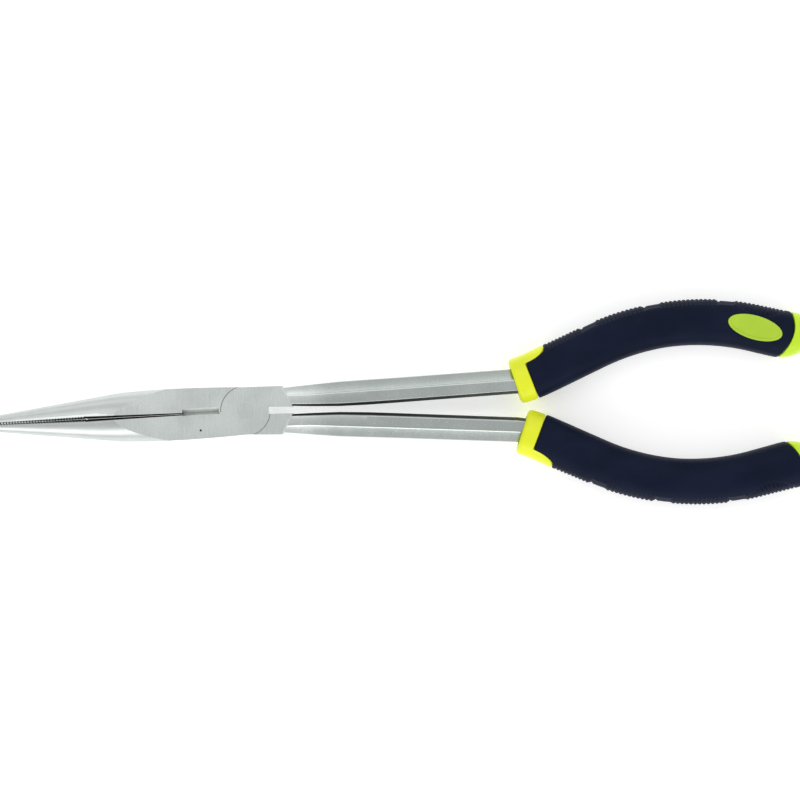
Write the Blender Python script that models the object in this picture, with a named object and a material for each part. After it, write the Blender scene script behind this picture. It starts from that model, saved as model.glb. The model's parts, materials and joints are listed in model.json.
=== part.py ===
"""Long-reach needle-nose fishing pliers with a side cutter, lying flat and closed.

Two steel forgings cross in a half-lap joint and turn on one flush rivet. Each forging is a jaw on one
side of the joint and a handle on the other. Each handle carries a grip of four pieces: a hard collar with
a tongue along its outer side, a hard liner on the steel tang, a soft sleeve with tread pads over the
liner, and a hard end cap. The upper sleeve holds an oval badge.

The frame is in metres with +Z up. X runs from the jaws to the grips along the mid line of the handles,
Y runs across the tool in the plane in which it opens, and the rivet stands along Z. The origin is at the
middle of the footprint, on the surface that the grips lie on.

The two forgings and their grips are the same shapes. Each is modelled once in a pivot frame, as the
lever whose jaw lies at -Y and whose handle lies at +Y, and half a turn about X makes the other lever.
"""

import math

import bmesh
import bpy
from mathutils import Matrix, Vector

MM = 0.001

# Whole tool
JAW_REACH = 88.5 * MM  # pivot to jaw tips
HANDLE_REACH = 193.3 * MM  # pivot to the end of the lower end cap, the further of the two
GRIP_HALF_THICKNESS = 7.5 * MM
PIVOT = Vector(((JAW_REACH - HANDLE_REACH) / 2, 0.0, GRIP_HALF_THICKNESS))
JAW_CANT = math.radians(1.82)  # the jaws' mid line, turned from that of the handles

# Half-lap joint
JOINT_HALF_THICKNESS = 5.25 * MM
LAP_HALF_GAP = 0.1 * MM
DISC_RADIUS = 8.25 * MM
RECESS_RADIUS = 8.45 * MM
JOINT_HALF_HEIGHT = 8.0 * MM
RIVET_RADIUS = 2.6 * MM
RIVET_CLEARANCE = 0.05 * MM
SLOT_START = 7.75 * MM  # square end of the slot between the shanks
SLOT_HALF_HEIGHT = 1.15 * MM
CHEEK_END_INNER = Vector((16.0, 1.1)) * MM  # slanting end of the ground joint face
CHEEK_END_OUTER = Vector((12.6, 8.2)) * MM
CHEEK_CHAMFER = 0.55 * MM
DRUM_SEGMENTS = 60
BORE_SEGMENTS = 40

# Jaws, measured along their mid line from the pivot
SHOULDER = 26.0 * MM  # where the jaws are highest
SHOULDER_HALF_HEIGHT = 8.7 * MM
NOSE_START = 43.0 * MM
TIP_HALF_HEIGHT = 2.3 * MM
TIP_HALF_THICKNESS = 1.9 * MM
NOSE_HEIGHT_TAPER = 0.1285  # growth of the half height per unit of length from the tip
NOSE_THICKNESS_TAPER = 0.068
NOSE_FLARE_START = 36.0 * MM  # from the tip; from here the nose swells into the joint
NOSE_FLARE = 5.5  # per metre
NOSE_FORM_END = 66.0 * MM  # from the tip
TIP_ROUNDING = 1.0 * MM
TIP_PROFILE = ((0.0, 0.78), (0.33, 0.93), (1.0, 1.0))  # share of the rounding, scale of the section
JAW_STEP = 4.0 * MM
NOSE_STEP = 6.0 * MM
FLARE_STEP = 2.0 * MM
TIP_HALF_GAP = 0.15 * MM
BITE_HALF_GAP = 0.62 * MM  # at the inner end of the teeth
BITE_START = 53.4 * MM
TOOTH_PITCH = 1.0 * MM
TOOTH_DEPTH = 0.35 * MM
RELIEF_DEPTH = 0.25 * MM
CUTTER_START = 8.6 * MM
CUTTER_END = 21.1 * MM
CUTTER_HALF_GAP = 0.06 * MM
CUTTER_HALF_LAND = 0.1 * MM
CUTTER_NEAR_BEVEL = 1.25 * MM
CUTTER_FAR_BEVEL = 1.85 * MM
BEVEL_SET_BACK = (0.2, 0.1)  # of a bevel's ends from the cutting edge's, as shares of its width

# Handle mid lines in the pivot frame: corners, and the bend radius at each inner corner
ARM_CORNERS = ((9.0, 4.5), (31.5, 4.93), (93.85, 8.31), (144.4, 31.4), (190.9, 20.0))
ARM_BENDS = (1290.0, 12.0, 82.5)
GRIP_CORNERS = ((91.0, 7.95), (96.74, 9.7), (144.4, 31.4), (190.9, 20.0))
GRIP_BENDS = (92.0, 82.5)
LOWER_GRIP_LEAD = 2.4 * MM  # how much further along its arm the lower grip sits

# Steel arm: distance along its mid line, width, thickness, outer bevel (across, through), inner bevel
ARM_STATIONS = (
    (0.0, 6.2, 9.2, 1.2, 1.0, 0.5, 0.6),
    (3.6, 6.6, 9.2, 2.2, 1.8, 0.6, 0.9),
    (9.0, 7.35, 8.9, 3.2, 2.4, 0.8, 1.4),
    (13.0, 7.75, 8.75, 3.4, 2.6, 0.9, 1.6),
    (29.0, 8.4, 8.6, 3.6, 2.8, 1.0, 1.9),
    (86.0, 8.4, 8.6, 3.6, 2.8, 1.0, 1.9),
    (92.0, 6.8, 6.6, 1.4, 1.4, 1.4, 1.4),
    (165.0, 6.4, 6.2, 1.4, 1.4, 1.4, 1.4),
    (169.0, 4.4, 4.4, 1.2, 1.2, 1.2, 1.2),
)
ARM_END = 169.0 * MM
ARM_STEP = 5.0 * MM
ARM_LEAST_STEP = 0.8 * MM
ARM_STEPS_START = 80.0 * MM  # in front of it the mid line is nearly straight

# Grip form: distance along its mid line, then how far it stands out on the outer side, the inner side
# and through the thickness
GRIP_STATIONS = (
    (0.0, 6.6, 6.2, 5.4),
    (0.5, 7.4, 7.1, 6.3),
    (1.6, 7.8, 7.9, 6.9),
    (6.0, 7.85, 8.0, 7.1),
    (12.0, 8.0, 7.95, 7.3),
    (54.0, 7.7, 7.7, 7.3),
    (92.0, 8.1, 8.1, 7.5),
)
GRIP_LENGTH = 104.0 * MM
GRIP_POWER = 2.7  # of the superellipse that its section follows
GRIP_STEP = 5.0 * MM
LINER_STEP = 9.0 * MM
END_RINGS = 7
END_POWERS = (2.2, 2.0, 2.2)  # of the end's rounding on the outer side, the inner side and the faces
LEAST_REACH = 0.6 * MM
OUTER_END_ROUNDING = 5.5 * MM
INNER_END_ROUNDING = 11.5 * MM
FACE_END_ROUNDING = 4.5 * MM
SEAM_GAP = 0.3 * MM  # between the pieces of a grip
COLLAR_LENGTH = 5.7 * MM
TONGUE_DEPTH = 1.25 * MM
TONGUE_CORNER = 0.7 * MM  # bevel where the tongue leaves the collar
TONGUE_LOBE = (11.6 * MM, 9.0 * MM, 3.2 * MM)  # along, outwards, radius
TONGUE_LOBE_SWEEP = (math.radians(205), math.radians(345))
COLLAR_FRONT = 82.0 * MM  # along the steel arm
CAP_START = 92.5 * MM
CAP_ARC_APEX = 98.0 * MM
CAP_ARC_RADIUS = 14.0 * MM
CAP_ARC_SIDE = 0.8 * MM  # how far outwards the arc's centre lies
CAP_ARC_SWEEP = math.radians(60)
CAP_ARC_SEGMENTS = 72
SLEEVE_WALL = 2.2 * MM
SLEEVE_SPARE = 4.0 * MM  # of the blank past the sleeve's end
LINER_END = 91.5 * MM
PAST_GRIP = 14.0 * MM  # clear of a grip's sides and faces
TANG_CLEARANCE = 0.3 * MM
RECESS_DEPTH = 1.4 * MM  # of the mouth that the shank enters
RECESS_MARGIN = 0.9 * MM

# Tread: start, end and reach round the outer side of each ribbed pad, along the grip
TREAD_PITCH = 1.8 * MM
TREAD_DEPTH = 0.42 * MM
TREAD_HALF_WIDTH = 0.5 * MM
GROOVE_TURN = math.radians(21)  # between a groove's rings
GROOVE_RUN_OUT = 0.12 * MM  # above the skin at both ends of a groove
GROOVE_HEADROOM = 0.5 * MM
LENS_REACH = math.radians(76)
LENS_NARROWING = math.radians(34)
TREAD_PADS = (
    (18.0 * MM, 27.0 * MM, math.radians(52)),
    (33.5 * MM, 49.0 * MM, math.radians(52)),
    (55.0 * MM, 73.0 * MM, math.radians(52)),
    (78.5 * MM, 94.5 * MM, LENS_REACH),
)
PAD_GAPS = ((28.2 * MM, 32.3 * MM), (50.2 * MM, 53.8 * MM), (74.2 * MM, 77.3 * MM))
PAD_GAP_DEPTH = 0.35 * MM
PAD_GAP_REACH = math.radians(44)
NOTCH_DEPTH = 0.75 * MM
PUNCH_MARK = (-15.2 * MM, -6.3 * MM, 0.45 * MM)  # along, across, radius

# Badge
BADGE_PLACE = 84.9 * MM
BADGE_HALF_LENGTH = 9.4 * MM
BADGE_HALF_WIDTH = 4.0 * MM
BADGE_FLOOR = 6.2 * MM
BADGE_TOP = 7.55 * MM
BADGE_ROUNDING = 0.35 * MM
BADGE_POINTS = 36

RING_POINTS = 24
LINER_RING_POINTS = 12
NOSE_RING_POINTS = 32
ARC_STEP = math.radians(6)
SHARP_ANGLE = math.radians(32)


class Route:
    """A flat line of straight runs and bends, measured by its length from the start.

    The lead is how far along the line its measure begins."""

    def __init__(self, corners, bends, lead=0.0):
        self.lead = lead
        points = [Vector(corner) * MM for corner in corners]
        self.runs = []
        start = points[0]
        for before, corner, after, bend in zip(points, points[1:], points[2:], bends):
            heading = math.atan2(*(corner - before).yx)
            turn = math.atan2(*(after - corner).yx) - heading
            cut = bend * MM * abs(math.tan(turn / 2))
            first = corner - (corner - before).normalized() * cut
            self.runs.append((start, heading, (first - start).length, 0.0))
            self.runs.append((first, heading, abs(turn) * bend * MM, turn))
            start = corner + (after - corner).normalized() * cut
        last = points[-1] - start
        self.runs.append((start, math.atan2(*last.yx), last.length, 0.0))

    def at(self, distance):
        """Point and heading at a distance along the line, which runs on straight past its ends."""
        distance += self.lead
        for index, (start, heading, length, turn) in enumerate(self.runs):
            if distance <= length or index == len(self.runs) - 1:
                break
            distance -= length
        if not turn:
            step = Vector((math.cos(heading), math.sin(heading)))
            return start + step * distance, heading
        radius = length / turn
        now = heading + distance / radius
        swing = Vector((math.sin(now) - math.sin(heading), math.cos(heading) - math.cos(now)))
        return start + swing * radius, now

    def place(self, distance, outwards, height=0.0):
        """Point beside the line: so far along it, so far to its outer side, and so high."""
        point, heading = self.at(distance)
        side = Vector((-math.sin(heading), math.cos(heading)))
        return (point + side * outwards).to_3d() + Vector((0.0, 0.0, height))


ARM = Route(ARM_CORNERS, ARM_BENDS)
UPPER_GRIP = Route(GRIP_CORNERS, GRIP_BENDS)
LOWER_GRIP = Route(GRIP_CORNERS, GRIP_BENDS, LOWER_GRIP_LEAD)


def between(rows, distance):
    """Values of a station table at a distance, all in metres."""
    for low, high in zip(rows, rows[1:]):
        if distance <= high[0] * MM:
            break
    share = (distance / MM - low[0]) / (high[0] - low[0])
    share = min(max(share, 0.0), 1.0)
    return [(a + (b - a) * share) * MM for a, b in zip(low[1:], high[1:])]


def steps(start, end, size):
    """Evenly spaced values from start to end, at most so far apart."""
    count = max(1, math.ceil((end - start) / size - 1e-6))
    return [start + (end - start) * index / count for index in range(count + 1)]


def superellipse(half_across, half_through, power, count):
    """(across, through) points of a rounded section."""
    points = []
    for index in range(count):
        angle = 2 * math.pi * (index + 0.5) / count
        across, through = math.cos(angle), math.sin(angle)
        points.append(
            (
                half_across * math.copysign(abs(across) ** (2 / power), across),
                half_through * math.copysign(abs(through) ** (2 / power), through),
            )
        )
    return points


def arc(radius, start, end, centre=(0.0, 0.0)):
    """Flat points of an arc about a centre, anticlockwise where end is over start."""
    return [
        Vector((centre[0] + radius * math.cos(angle), centre[1] + radius * math.sin(angle)))
        for angle in (
            start + (end - start) * index / max(1, math.ceil(abs(end - start) / ARC_STEP))
            for index in range(max(1, math.ceil(abs(end - start) / ARC_STEP)) + 1)
        )
    ]


def turned(points, angle):
    """Flat points turned about the pivot."""
    return [point.copy() for point in (Matrix.Rotation(angle, 2) @ Vector(p) for p in points)]


def closed(shape):
    """The bmesh with its faces turned outwards."""
    bmesh.ops.recalc_face_normals(shape, faces=shape.faces)
    return shape


def loft(rings):
    """A skin over rings of as many points each, closed by a flat face at both ends."""
    shape = bmesh.new()
    loops = [[shape.verts.new(point) for point in ring] for ring in rings]
    for low, high in zip(loops, loops[1:]):
        for index, corner in enumerate(low):
            after = (index + 1) % len(low)
            shape.faces.new((corner, low[after], high[after], high[index]))
    shape.faces.new(loops[0])
    shape.faces.new(loops[-1])
    return closed(shape)


def prism(outline, low, high):
    """A flat outline carried up from one height to another."""
    shape = bmesh.new()
    floor = shape.faces.new([shape.verts.new((x, y, low)) for x, y in outline])
    raised = bmesh.ops.extrude_face_region(shape, geom=[floor])["geom"]
    top = [item for item in raised if isinstance(item, bmesh.types.BMVert)]
    bmesh.ops.translate(shape, verts=top, vec=(0.0, 0.0, high - low))
    return closed(shape)


def drum(radius, low, high, centre=(0.0, 0.0), segments=DRUM_SEGMENTS):
    """An upright cylinder."""
    outline = [
        (
            centre[0] + radius * math.cos(2 * math.pi * index / segments),
            centre[1] + radius * math.sin(2 * math.pi * index / segments),
        )
        for index in range(segments)
    ]
    return prism(outline, low, high)


# Steel forgings


def jaw_half_height(ahead):
    """Half height of the closed jaws, at a distance ahead of the pivot."""
    if ahead > SHOULDER:
        drop = SHOULDER_HALF_HEIGHT - nose_half_axes(JAW_REACH - NOSE_START)[0]
        share = (ahead - SHOULDER) / (NOSE_START - SHOULDER)
    else:
        drop = SHOULDER_HALF_HEIGHT - JOINT_HALF_HEIGHT
        share = (SHOULDER - ahead) / SHOULDER
    return SHOULDER_HALF_HEIGHT - drop * share**2


def nose_half_axes(from_tip):
    """Half height and half thickness of the tapered nose form."""
    flare = max(0.0, from_tip - NOSE_FLARE_START)
    return (
        TIP_HALF_HEIGHT + NOSE_HEIGHT_TAPER * from_tip,
        TIP_HALF_THICKNESS + NOSE_THICKNESS_TAPER * from_tip + NOSE_FLARE * flare**2,
    )


def bite_half_gap(ahead):
    """Half the gap between the closed jaws, which meet at their tips and open towards the cutter."""
    if ahead >= BITE_START:
        share = (JAW_REACH - ahead) / (JAW_REACH - BITE_START)
        return TIP_HALF_GAP + (BITE_HALF_GAP - TIP_HALF_GAP) * share
    share = (BITE_START - ahead) / (BITE_START - CUTTER_END)
    return BITE_HALF_GAP + RELIEF_DEPTH + (TIP_HALF_GAP - BITE_HALF_GAP) * share


def bite_outline():
    """Inner edge of the lower jaw from the joint to the tip: cutting edge, relief and teeth."""
    points = [
        (-CUTTER_START, -CUTTER_HALF_GAP),
        (-CUTTER_END, -CUTTER_HALF_GAP),
        (-CUTTER_END, -bite_half_gap(CUTTER_END)),
        (-BITE_START, -BITE_HALF_GAP - RELIEF_DEPTH),
    ]
    for valley in steps(BITE_START + TOOTH_PITCH / 2, JAW_REACH - TOOTH_PITCH, TOOTH_PITCH):
        crest = valley + TOOTH_PITCH / 2
        points.append((-valley, -bite_half_gap(valley) - TOOTH_DEPTH))
        points.append((-crest, -bite_half_gap(crest)))
    points.append((-JAW_REACH, -bite_half_gap(JAW_REACH)))
    return points


def blank_outline(cant):
    """Plan of the jaw, the lap disc and the joint cheek of one forging, anticlockwise."""
    margin = 1.0 * MM
    jaw = [(-JAW_REACH, -nose_half_axes(0.0)[0] - margin)]
    jaw.append((-NOSE_START, -nose_half_axes(JAW_REACH - NOSE_START)[0] - margin))
    for ahead in reversed(steps(0.0, NOSE_START - margin, JAW_STEP)):
        jaw.append((-ahead, -jaw_half_height(ahead)))
    meets_edge = math.asin(JOINT_HALF_HEIGHT / DISC_RADIUS)
    meets_slot = math.asin(SLOT_HALF_HEIGHT / DISC_RADIUS)
    lower_bulge = arc(DISC_RADIUS, -meets_edge + ARC_STEP / 2, -meets_slot)
    upper_bulge = arc(DISC_RADIUS, math.pi - meets_edge + ARC_STEP / 2, math.pi + cant)
    cheek = [
        (SLOT_START, -SLOT_HALF_HEIGHT),
        (SLOT_START, SLOT_HALF_HEIGHT),
        tuple(CHEEK_END_INNER),
        tuple(CHEEK_END_OUTER),
        (0.0, JOINT_HALF_HEIGHT),
    ]
    return turned(jaw, cant) + lower_bulge + cheek + upper_bulge + turned(bite_outline(), cant)


def cheek_blank(cant):
    """The forging's jaw and joint as a slab with a chamfered end towards the shank."""
    slab = prism(blank_outline(cant), -JOINT_HALF_THICKNESS, JOINT_HALF_THICKNESS)
    ends = [
        edge
        for edge in slab.edges
        if {tuple(round(v / MM, 3) for v in vert.co.xy) for vert in edge.verts}
        == {tuple(round(v / MM, 3) for v in point) for point in (CHEEK_END_INNER, CHEEK_END_OUTER)}
    ]
    bmesh.ops.bevel(
        slab, geom=ends, offset=CHEEK_CHAMFER, segments=1, profile=0.5, affect="EDGES", material=-1
    )
    return closed(slab)


def nose_form(cant):
    """The tapered round form that the jaws are ground to, carried on over the joint."""
    rings = []
    stations = [(share * TIP_ROUNDING, scale) for share, scale in TIP_PROFILE]
    stations += [(place, 1.0) for place in steps(NOSE_STEP, NOSE_FLARE_START, NOSE_STEP)]
    flare = steps(NOSE_FLARE_START + FLARE_STEP, NOSE_FORM_END, FLARE_STEP)
    stations += [(place, 1.0) for place in flare]
    for from_tip, scale in stations:
        height, thickness = nose_half_axes(from_tip)
        rings.append((from_tip - JAW_REACH, height * scale, thickness * scale))
    clear_of_joint = 20.0 * MM
    rings.append((-CUTTER_END, clear_of_joint, clear_of_joint))
    rings.append((CHEEK_END_INNER.x + clear_of_joint, clear_of_joint, clear_of_joint))
    spin = Matrix.Rotation(cant, 3, "Z")
    return loft(
        [
            [
                spin @ Vector((along, across, through))
                for across, through in superellipse(height, thickness, 2.0, NOSE_RING_POINTS)
            ]
            for along, height, thickness in rings
        ]
    )


def cutter_bevel(width, side, cant):
    """Wedge that grinds one bevel of the side cutter, on the front (side 1) or the back (side -1)."""
    slope = (width - CUTTER_HALF_GAP) / (JOINT_HALF_THICKNESS - CUTTER_HALF_LAND)
    past = 1.0 * MM
    low = CUTTER_HALF_LAND - past / 4
    high = JOINT_HALF_THICKNESS + past

    def face(through):
        return -CUTTER_HALF_GAP - slope * (through - CUTTER_HALF_LAND)

    section = [(face(low), low), (face(high), high), (2 * past, high), (2 * past, low)]
    near, far = (share * width for share in BEVEL_SET_BACK)
    spin = Matrix.Rotation(cant, 3, "Z")
    return loft(
        [
            [spin @ Vector((-along, across, side * through)) for across, through in section]
            for along in (CUTTER_START + near, CUTTER_END + far)
        ]
    )


def arm_section(distance, grow=0.0):
    """Eight-sided section of the steel arm, (outwards, through) points, grown by a clearance."""
    width, thickness, out_across, out_through, in_across, in_through = between(ARM_STATIONS, distance)
    across, through = width / 2 + grow, thickness / 2 + grow
    quarter = [
        (across, through - out_through),
        (across - out_across, through),
        (-across + in_across, through),
        (-across, through - in_through),
    ]
    return quarter + [(a, -t) for a, t in reversed(quarter)]


def arm(start=0.0, end=ARM_END, grow=0.0):
    """The shank and tang along their mid line, or the clearance round a stretch of them."""
    marks = sorted(
        {start, end}
        | {row[0] * MM for row in ARM_STATIONS if start < row[0] * MM < end}
        | {place for place in steps(ARM_STEPS_START, ARM_END, ARM_STEP) if start < place < end}
    )
    kept = [marks[0]] + [b for a, b in zip(marks, marks[1:]) if b - a > ARM_LEAST_STEP]
    return loft(
        [[ARM.place(mark, across, through) for across, through in arm_section(mark, grow)] for mark in kept]
    )


# Grips


def grip_reach(distance):
    """How far the grip form stands out at a distance: outer side, inner side, through."""
    outer, inner, through = between(GRIP_STATIONS, min(distance, GRIP_STATIONS[-1][0] * MM))

    def rounded(value, length, power):
        share = max(0.0, (distance - GRIP_LENGTH + length) / length)
        return value * max(0.0, 1 - share**power) ** (1 / power)

    lengths = (OUTER_END_ROUNDING, INNER_END_ROUNDING, FACE_END_ROUNDING)
    reaches = zip((outer, inner, through), lengths, END_POWERS)
    return tuple(max(LEAST_REACH, rounded(*reach)) for reach in reaches)


def grip_ring(line, distance, shrink, count):
    """Section of the grip form as points in space, taken in by a wall thickness."""
    outer, inner, through = (reach - shrink for reach in grip_reach(distance))
    middle = (outer - inner) / 2
    return [
        line.place(distance, middle + across, height)
        for across, height in superellipse((outer + inner) / 2, through, GRIP_POWER, count)
    ]


def grip_form(line, start, end):
    """A stretch of the grip form along a grip's mid line."""
    tail = GRIP_STATIONS[-1][0] * MM
    lip = [row[0] * MM for row in GRIP_STATIONS[:4]]
    marks = lip + steps(lip[-1], tail, GRIP_STEP)
    for index in range(1, END_RINGS):
        marks.append(tail + (GRIP_LENGTH - tail) * math.sin(math.pi / 2 * index / END_RINGS))
    marks = [start] + sorted({round(mark, 6) for mark in marks if start < mark < end}) + [end]
    return loft([grip_ring(line, mark, 0.0, RING_POINTS) for mark in marks])


def core_form(line, start, end, shrink):
    """A plainer stretch of the grip form, taken in by the sleeve's wall."""
    marks = [mark for mark in steps(COLLAR_LENGTH, LINER_END, LINER_STEP) if start < mark < end]
    return loft([grip_ring(line, mark, shrink, LINER_RING_POINTS) for mark in [start] + marks + [end]])


def collar_zone(line, grow=0.0):
    """Plan region of the collar with its tongue, grown by the seam's gap."""
    edge = COLLAR_LENGTH + grow
    tongue = grip_reach(COLLAR_LENGTH)[0] - TONGUE_DEPTH - grow
    along, outwards, radius = TONGUE_LOBE
    lobe = arc(radius + grow, *TONGUE_LOBE_SWEEP, (along, outwards))
    flat = [(-PAST_GRIP, -PAST_GRIP), (edge, -PAST_GRIP)]
    flat += [(edge, tongue - TONGUE_CORNER), (edge + TONGUE_CORNER, tongue)]
    flat += [tuple(point) for point in lobe]
    flat += [(lobe[-1].x, PAST_GRIP), (-PAST_GRIP, PAST_GRIP)]
    outline = [line.place(place, across).xy for place, across in flat]
    return prism(outline, -PAST_GRIP, PAST_GRIP)


def sleeve_end_zone(line, grow=0.0):
    """Plan disc that holds all of the sleeve's rounded rear end, grown by the seam's gap."""
    middle = line.place(CAP_ARC_APEX - CAP_ARC_RADIUS, CAP_ARC_SIDE)
    return drum(CAP_ARC_RADIUS + grow, -PAST_GRIP, PAST_GRIP, middle.xy, CAP_ARC_SEGMENTS)


def sleeve_zone(line):
    """Plan region of the sleeve: everything in front of its rounded rear end."""
    centre = (CAP_ARC_APEX - CAP_ARC_RADIUS, CAP_ARC_SIDE)
    flat = [tuple(point) for point in arc(CAP_ARC_RADIUS, -CAP_ARC_SWEEP, CAP_ARC_SWEEP, centre)]
    marks = steps(-GRIP_STEP, centre[0] - PAST_GRIP, GRIP_STEP)
    flat += [(mark, PAST_GRIP) for mark in reversed(marks)] + [(mark, -PAST_GRIP) for mark in marks]
    outline = [line.place(place, across).xy for place, across in flat]
    return prism(outline, -PAST_GRIP, PAST_GRIP)


def tread_cutter(line):
    """The grooves of the tread pads and the lower stretches between them, as one comb of curved bars."""
    comb = bmesh.new()
    rib = ((-TREAD_HALF_WIDTH, 0.0), (0.0, TREAD_DEPTH), (TREAD_HALF_WIDTH, 0.0))
    for start, end, reach in TREAD_PADS:
        count = round((end - start) / TREAD_PITCH)
        for index in range(count + 1):
            share = 2 * index / count - 1
            narrowing = LENS_NARROWING * share**2 if reach == LENS_REACH else 0.0
            groove(comb, line, start + index * TREAD_PITCH, reach - narrowing, rib)
    for start, end in PAD_GAPS:
        half = (end - start) / 2
        ease = TREAD_HALF_WIDTH
        low = ((-half, 0.0), (-half + ease, NOTCH_DEPTH), (-half + 2 * ease, PAD_GAP_DEPTH))
        low += tuple((-along, depth) for along, depth in reversed(low))
        groove(comb, line, (start + end) / 2, PAD_GAP_REACH, low)
    return closed(comb)


def groove(comb, line, place, reach, section):
    """A bar bent round the grip's outer side, which runs out to nothing at its ends.

    The section lists (along, depth) points from rim to rim.
    """
    outer, inner, through = grip_reach(place)
    middle, half = (outer - inner) / 2, (outer + inner) / 2
    rings = []
    for angle in steps(-reach, reach, GROOVE_TURN):
        fade = math.cos(math.pi / 2 * angle / reach)
        ring = []
        for along, depth in section:
            rise = GROOVE_RUN_OUT - depth * fade if depth else GROOVE_HEADROOM
            across = (half + rise) * math.cos(angle) ** (2 / GRIP_POWER)
            height = (through + rise) * abs(math.sin(angle)) ** (2 / GRIP_POWER)
            spot = line.place(place + along, middle + across, math.copysign(height, angle))
            ring.append(comb.verts.new(spot))
        rings.append(ring)
    for low, high in zip(rings, rings[1:]):
        for index in range(len(section)):
            after = (index + 1) % len(section)
            comb.faces.new((low[index], low[after], high[after], high[index]))
    comb.faces.new(rings[0])
    comb.faces.new(rings[-1])


def oval(line, grow=0.0, low=BADGE_FLOOR, high=BADGE_TOP):
    """The badge's oval slab on the front face of the grip."""
    middle, heading = line.at(BADGE_PLACE)
    outline = []
    for index in range(BADGE_POINTS):
        angle = 2 * math.pi * index / BADGE_POINTS
        along = (BADGE_HALF_LENGTH + grow) * math.cos(angle)
        across = (BADGE_HALF_WIDTH + grow) * math.sin(angle)
        outline.append(middle + turned([(along, across)], heading)[0])
    return prism(outline, low, high)


def badge(line):
    """The badge with its rim rounded."""
    slab = oval(line)
    upper = (BADGE_FLOOR + BADGE_TOP) / 2
    rim = [edge for edge in slab.edges if all(vert.co.z > upper for vert in edge.verts)]
    bmesh.ops.bevel(
        slab, geom=rim, offset=BADGE_ROUNDING, segments=2, profile=0.5, affect="EDGES", material=-1
    )
    return closed(slab)


# Objects

STEEL = ("polished_steel", (0.55, 0.58, 0.57), 0.28, 1.0)
RIVET_STEEL = ("rivet_steel", (0.5, 0.53, 0.52), 0.3, 1.0)
YELLOW = ("yellow_plastic", (0.75, 0.85, 0.04), 0.4, 0.0)
LINER = ("liner_plastic", (0.62, 0.72, 0.05), 0.5, 0.0)
NAVY = ("navy_rubber", (0.012, 0.02, 0.045), 0.6, 0.0)
BADGE = ("badge_plastic", (0.4, 0.6, 0.05), 0.35, 0.0)


def material(kind):
    """The named Principled material, made once."""
    name, colour, roughness, metallic = kind
    found = bpy.data.materials.get(name)
    if found:
        return found
    made = bpy.data.materials.new(name)
    made.use_nodes = True
    shader = made.node_tree.nodes["Principled BSDF"]
    shader.inputs["Base Color"].default_value = (*colour, 1.0)
    shader.inputs["Roughness"].default_value = roughness
    shader.inputs["Metallic"].default_value = metallic
    made.diffuse_color = (*colour, 1.0)
    return made


def add(name, shape, kind, lever):
    """A piece of the tool, on its lever."""
    mesh = bpy.data.meshes.new(name)
    shape.to_mesh(mesh)
    shape.free()
    mesh.materials.append(material(kind))
    mesh.shade_smooth()
    mesh.set_sharp_from_angle(angle=SHARP_ANGLE)
    piece = bpy.data.objects.new(name, mesh)
    piece.parent = lever
    bpy.context.scene.collection.objects.link(piece)
    return piece


def shaped(piece, operation, shape, label):
    """The piece with a Boolean by another shape, which stays as a hidden tool on the same lever."""
    mesh = bpy.data.meshes.new(f"{piece.name}_{label}")
    shape.to_mesh(mesh)
    shape.free()
    tool = bpy.data.objects.new(mesh.name, mesh)
    tool.parent = piece.parent
    tool.hide_render = True
    tool.display_type = "WIRE"
    bpy.context.scene.collection.objects.link(tool)
    step = piece.modifiers.new(label, "BOOLEAN")
    step.operation = operation
    step.solver = "EXACT"
    step.object = tool


def lever_at_pivot(name, turned_over):
    """The empty that carries a lever's pieces and turns with it on the rivet's axis."""
    lever = bpy.data.objects.new(name, None)
    lever.empty_display_size = 20 * MM
    lever.location = PIVOT
    lever.rotation_euler = (math.pi if turned_over else 0.0, 0.0, 0.0)
    bpy.context.scene.collection.objects.link(lever)
    return lever


def punch_mark():
    """The ball that leaves an inspection punch mark on the jaw's front face."""
    along, across, radius = PUNCH_MARK
    shape = bmesh.new()
    bmesh.ops.create_icosphere(shape, subdivisions=2, radius=radius)
    bmesh.ops.translate(shape, verts=shape.verts, vec=(along, across, JOINT_HALF_THICKNESS + radius / 2))
    return shape


def add_forging(name, lever, cant, punched):
    """A steel half: jaw, lap disc, shank and tang. The cant is the turn of its jaw from its handle."""
    half = add(name, cheek_blank(cant), STEEL, lever)
    over = JOINT_HALF_THICKNESS + 1.0 * MM
    shaped(half, "INTERSECT", nose_form(cant), "nose_form")
    shaped(half, "DIFFERENCE", drum(RECESS_RADIUS, -over, LAP_HALF_GAP), "lap_recess")
    shaped(half, "DIFFERENCE", cutter_bevel(CUTTER_NEAR_BEVEL, 1, cant), "near_bevel")
    shaped(half, "DIFFERENCE", cutter_bevel(CUTTER_FAR_BEVEL, -1, cant), "far_bevel")
    shaped(half, "UNION", arm(), "arm")
    bore = drum(RIVET_RADIUS + RIVET_CLEARANCE, -over, over, segments=BORE_SEGMENTS)
    shaped(half, "DIFFERENCE", bore, "rivet_bore")
    if punched:
        shaped(half, "DIFFERENCE", punch_mark(), "punch_mark")


def add_rivet(lever):
    """The rivet, ground flush with both joint faces."""
    over = JOINT_HALF_THICKNESS
    pin = drum(RIVET_RADIUS, -over, over, segments=BORE_SEGMENTS)
    add("pivot_rivet", pin, RIVET_STEEL, lever)


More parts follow.
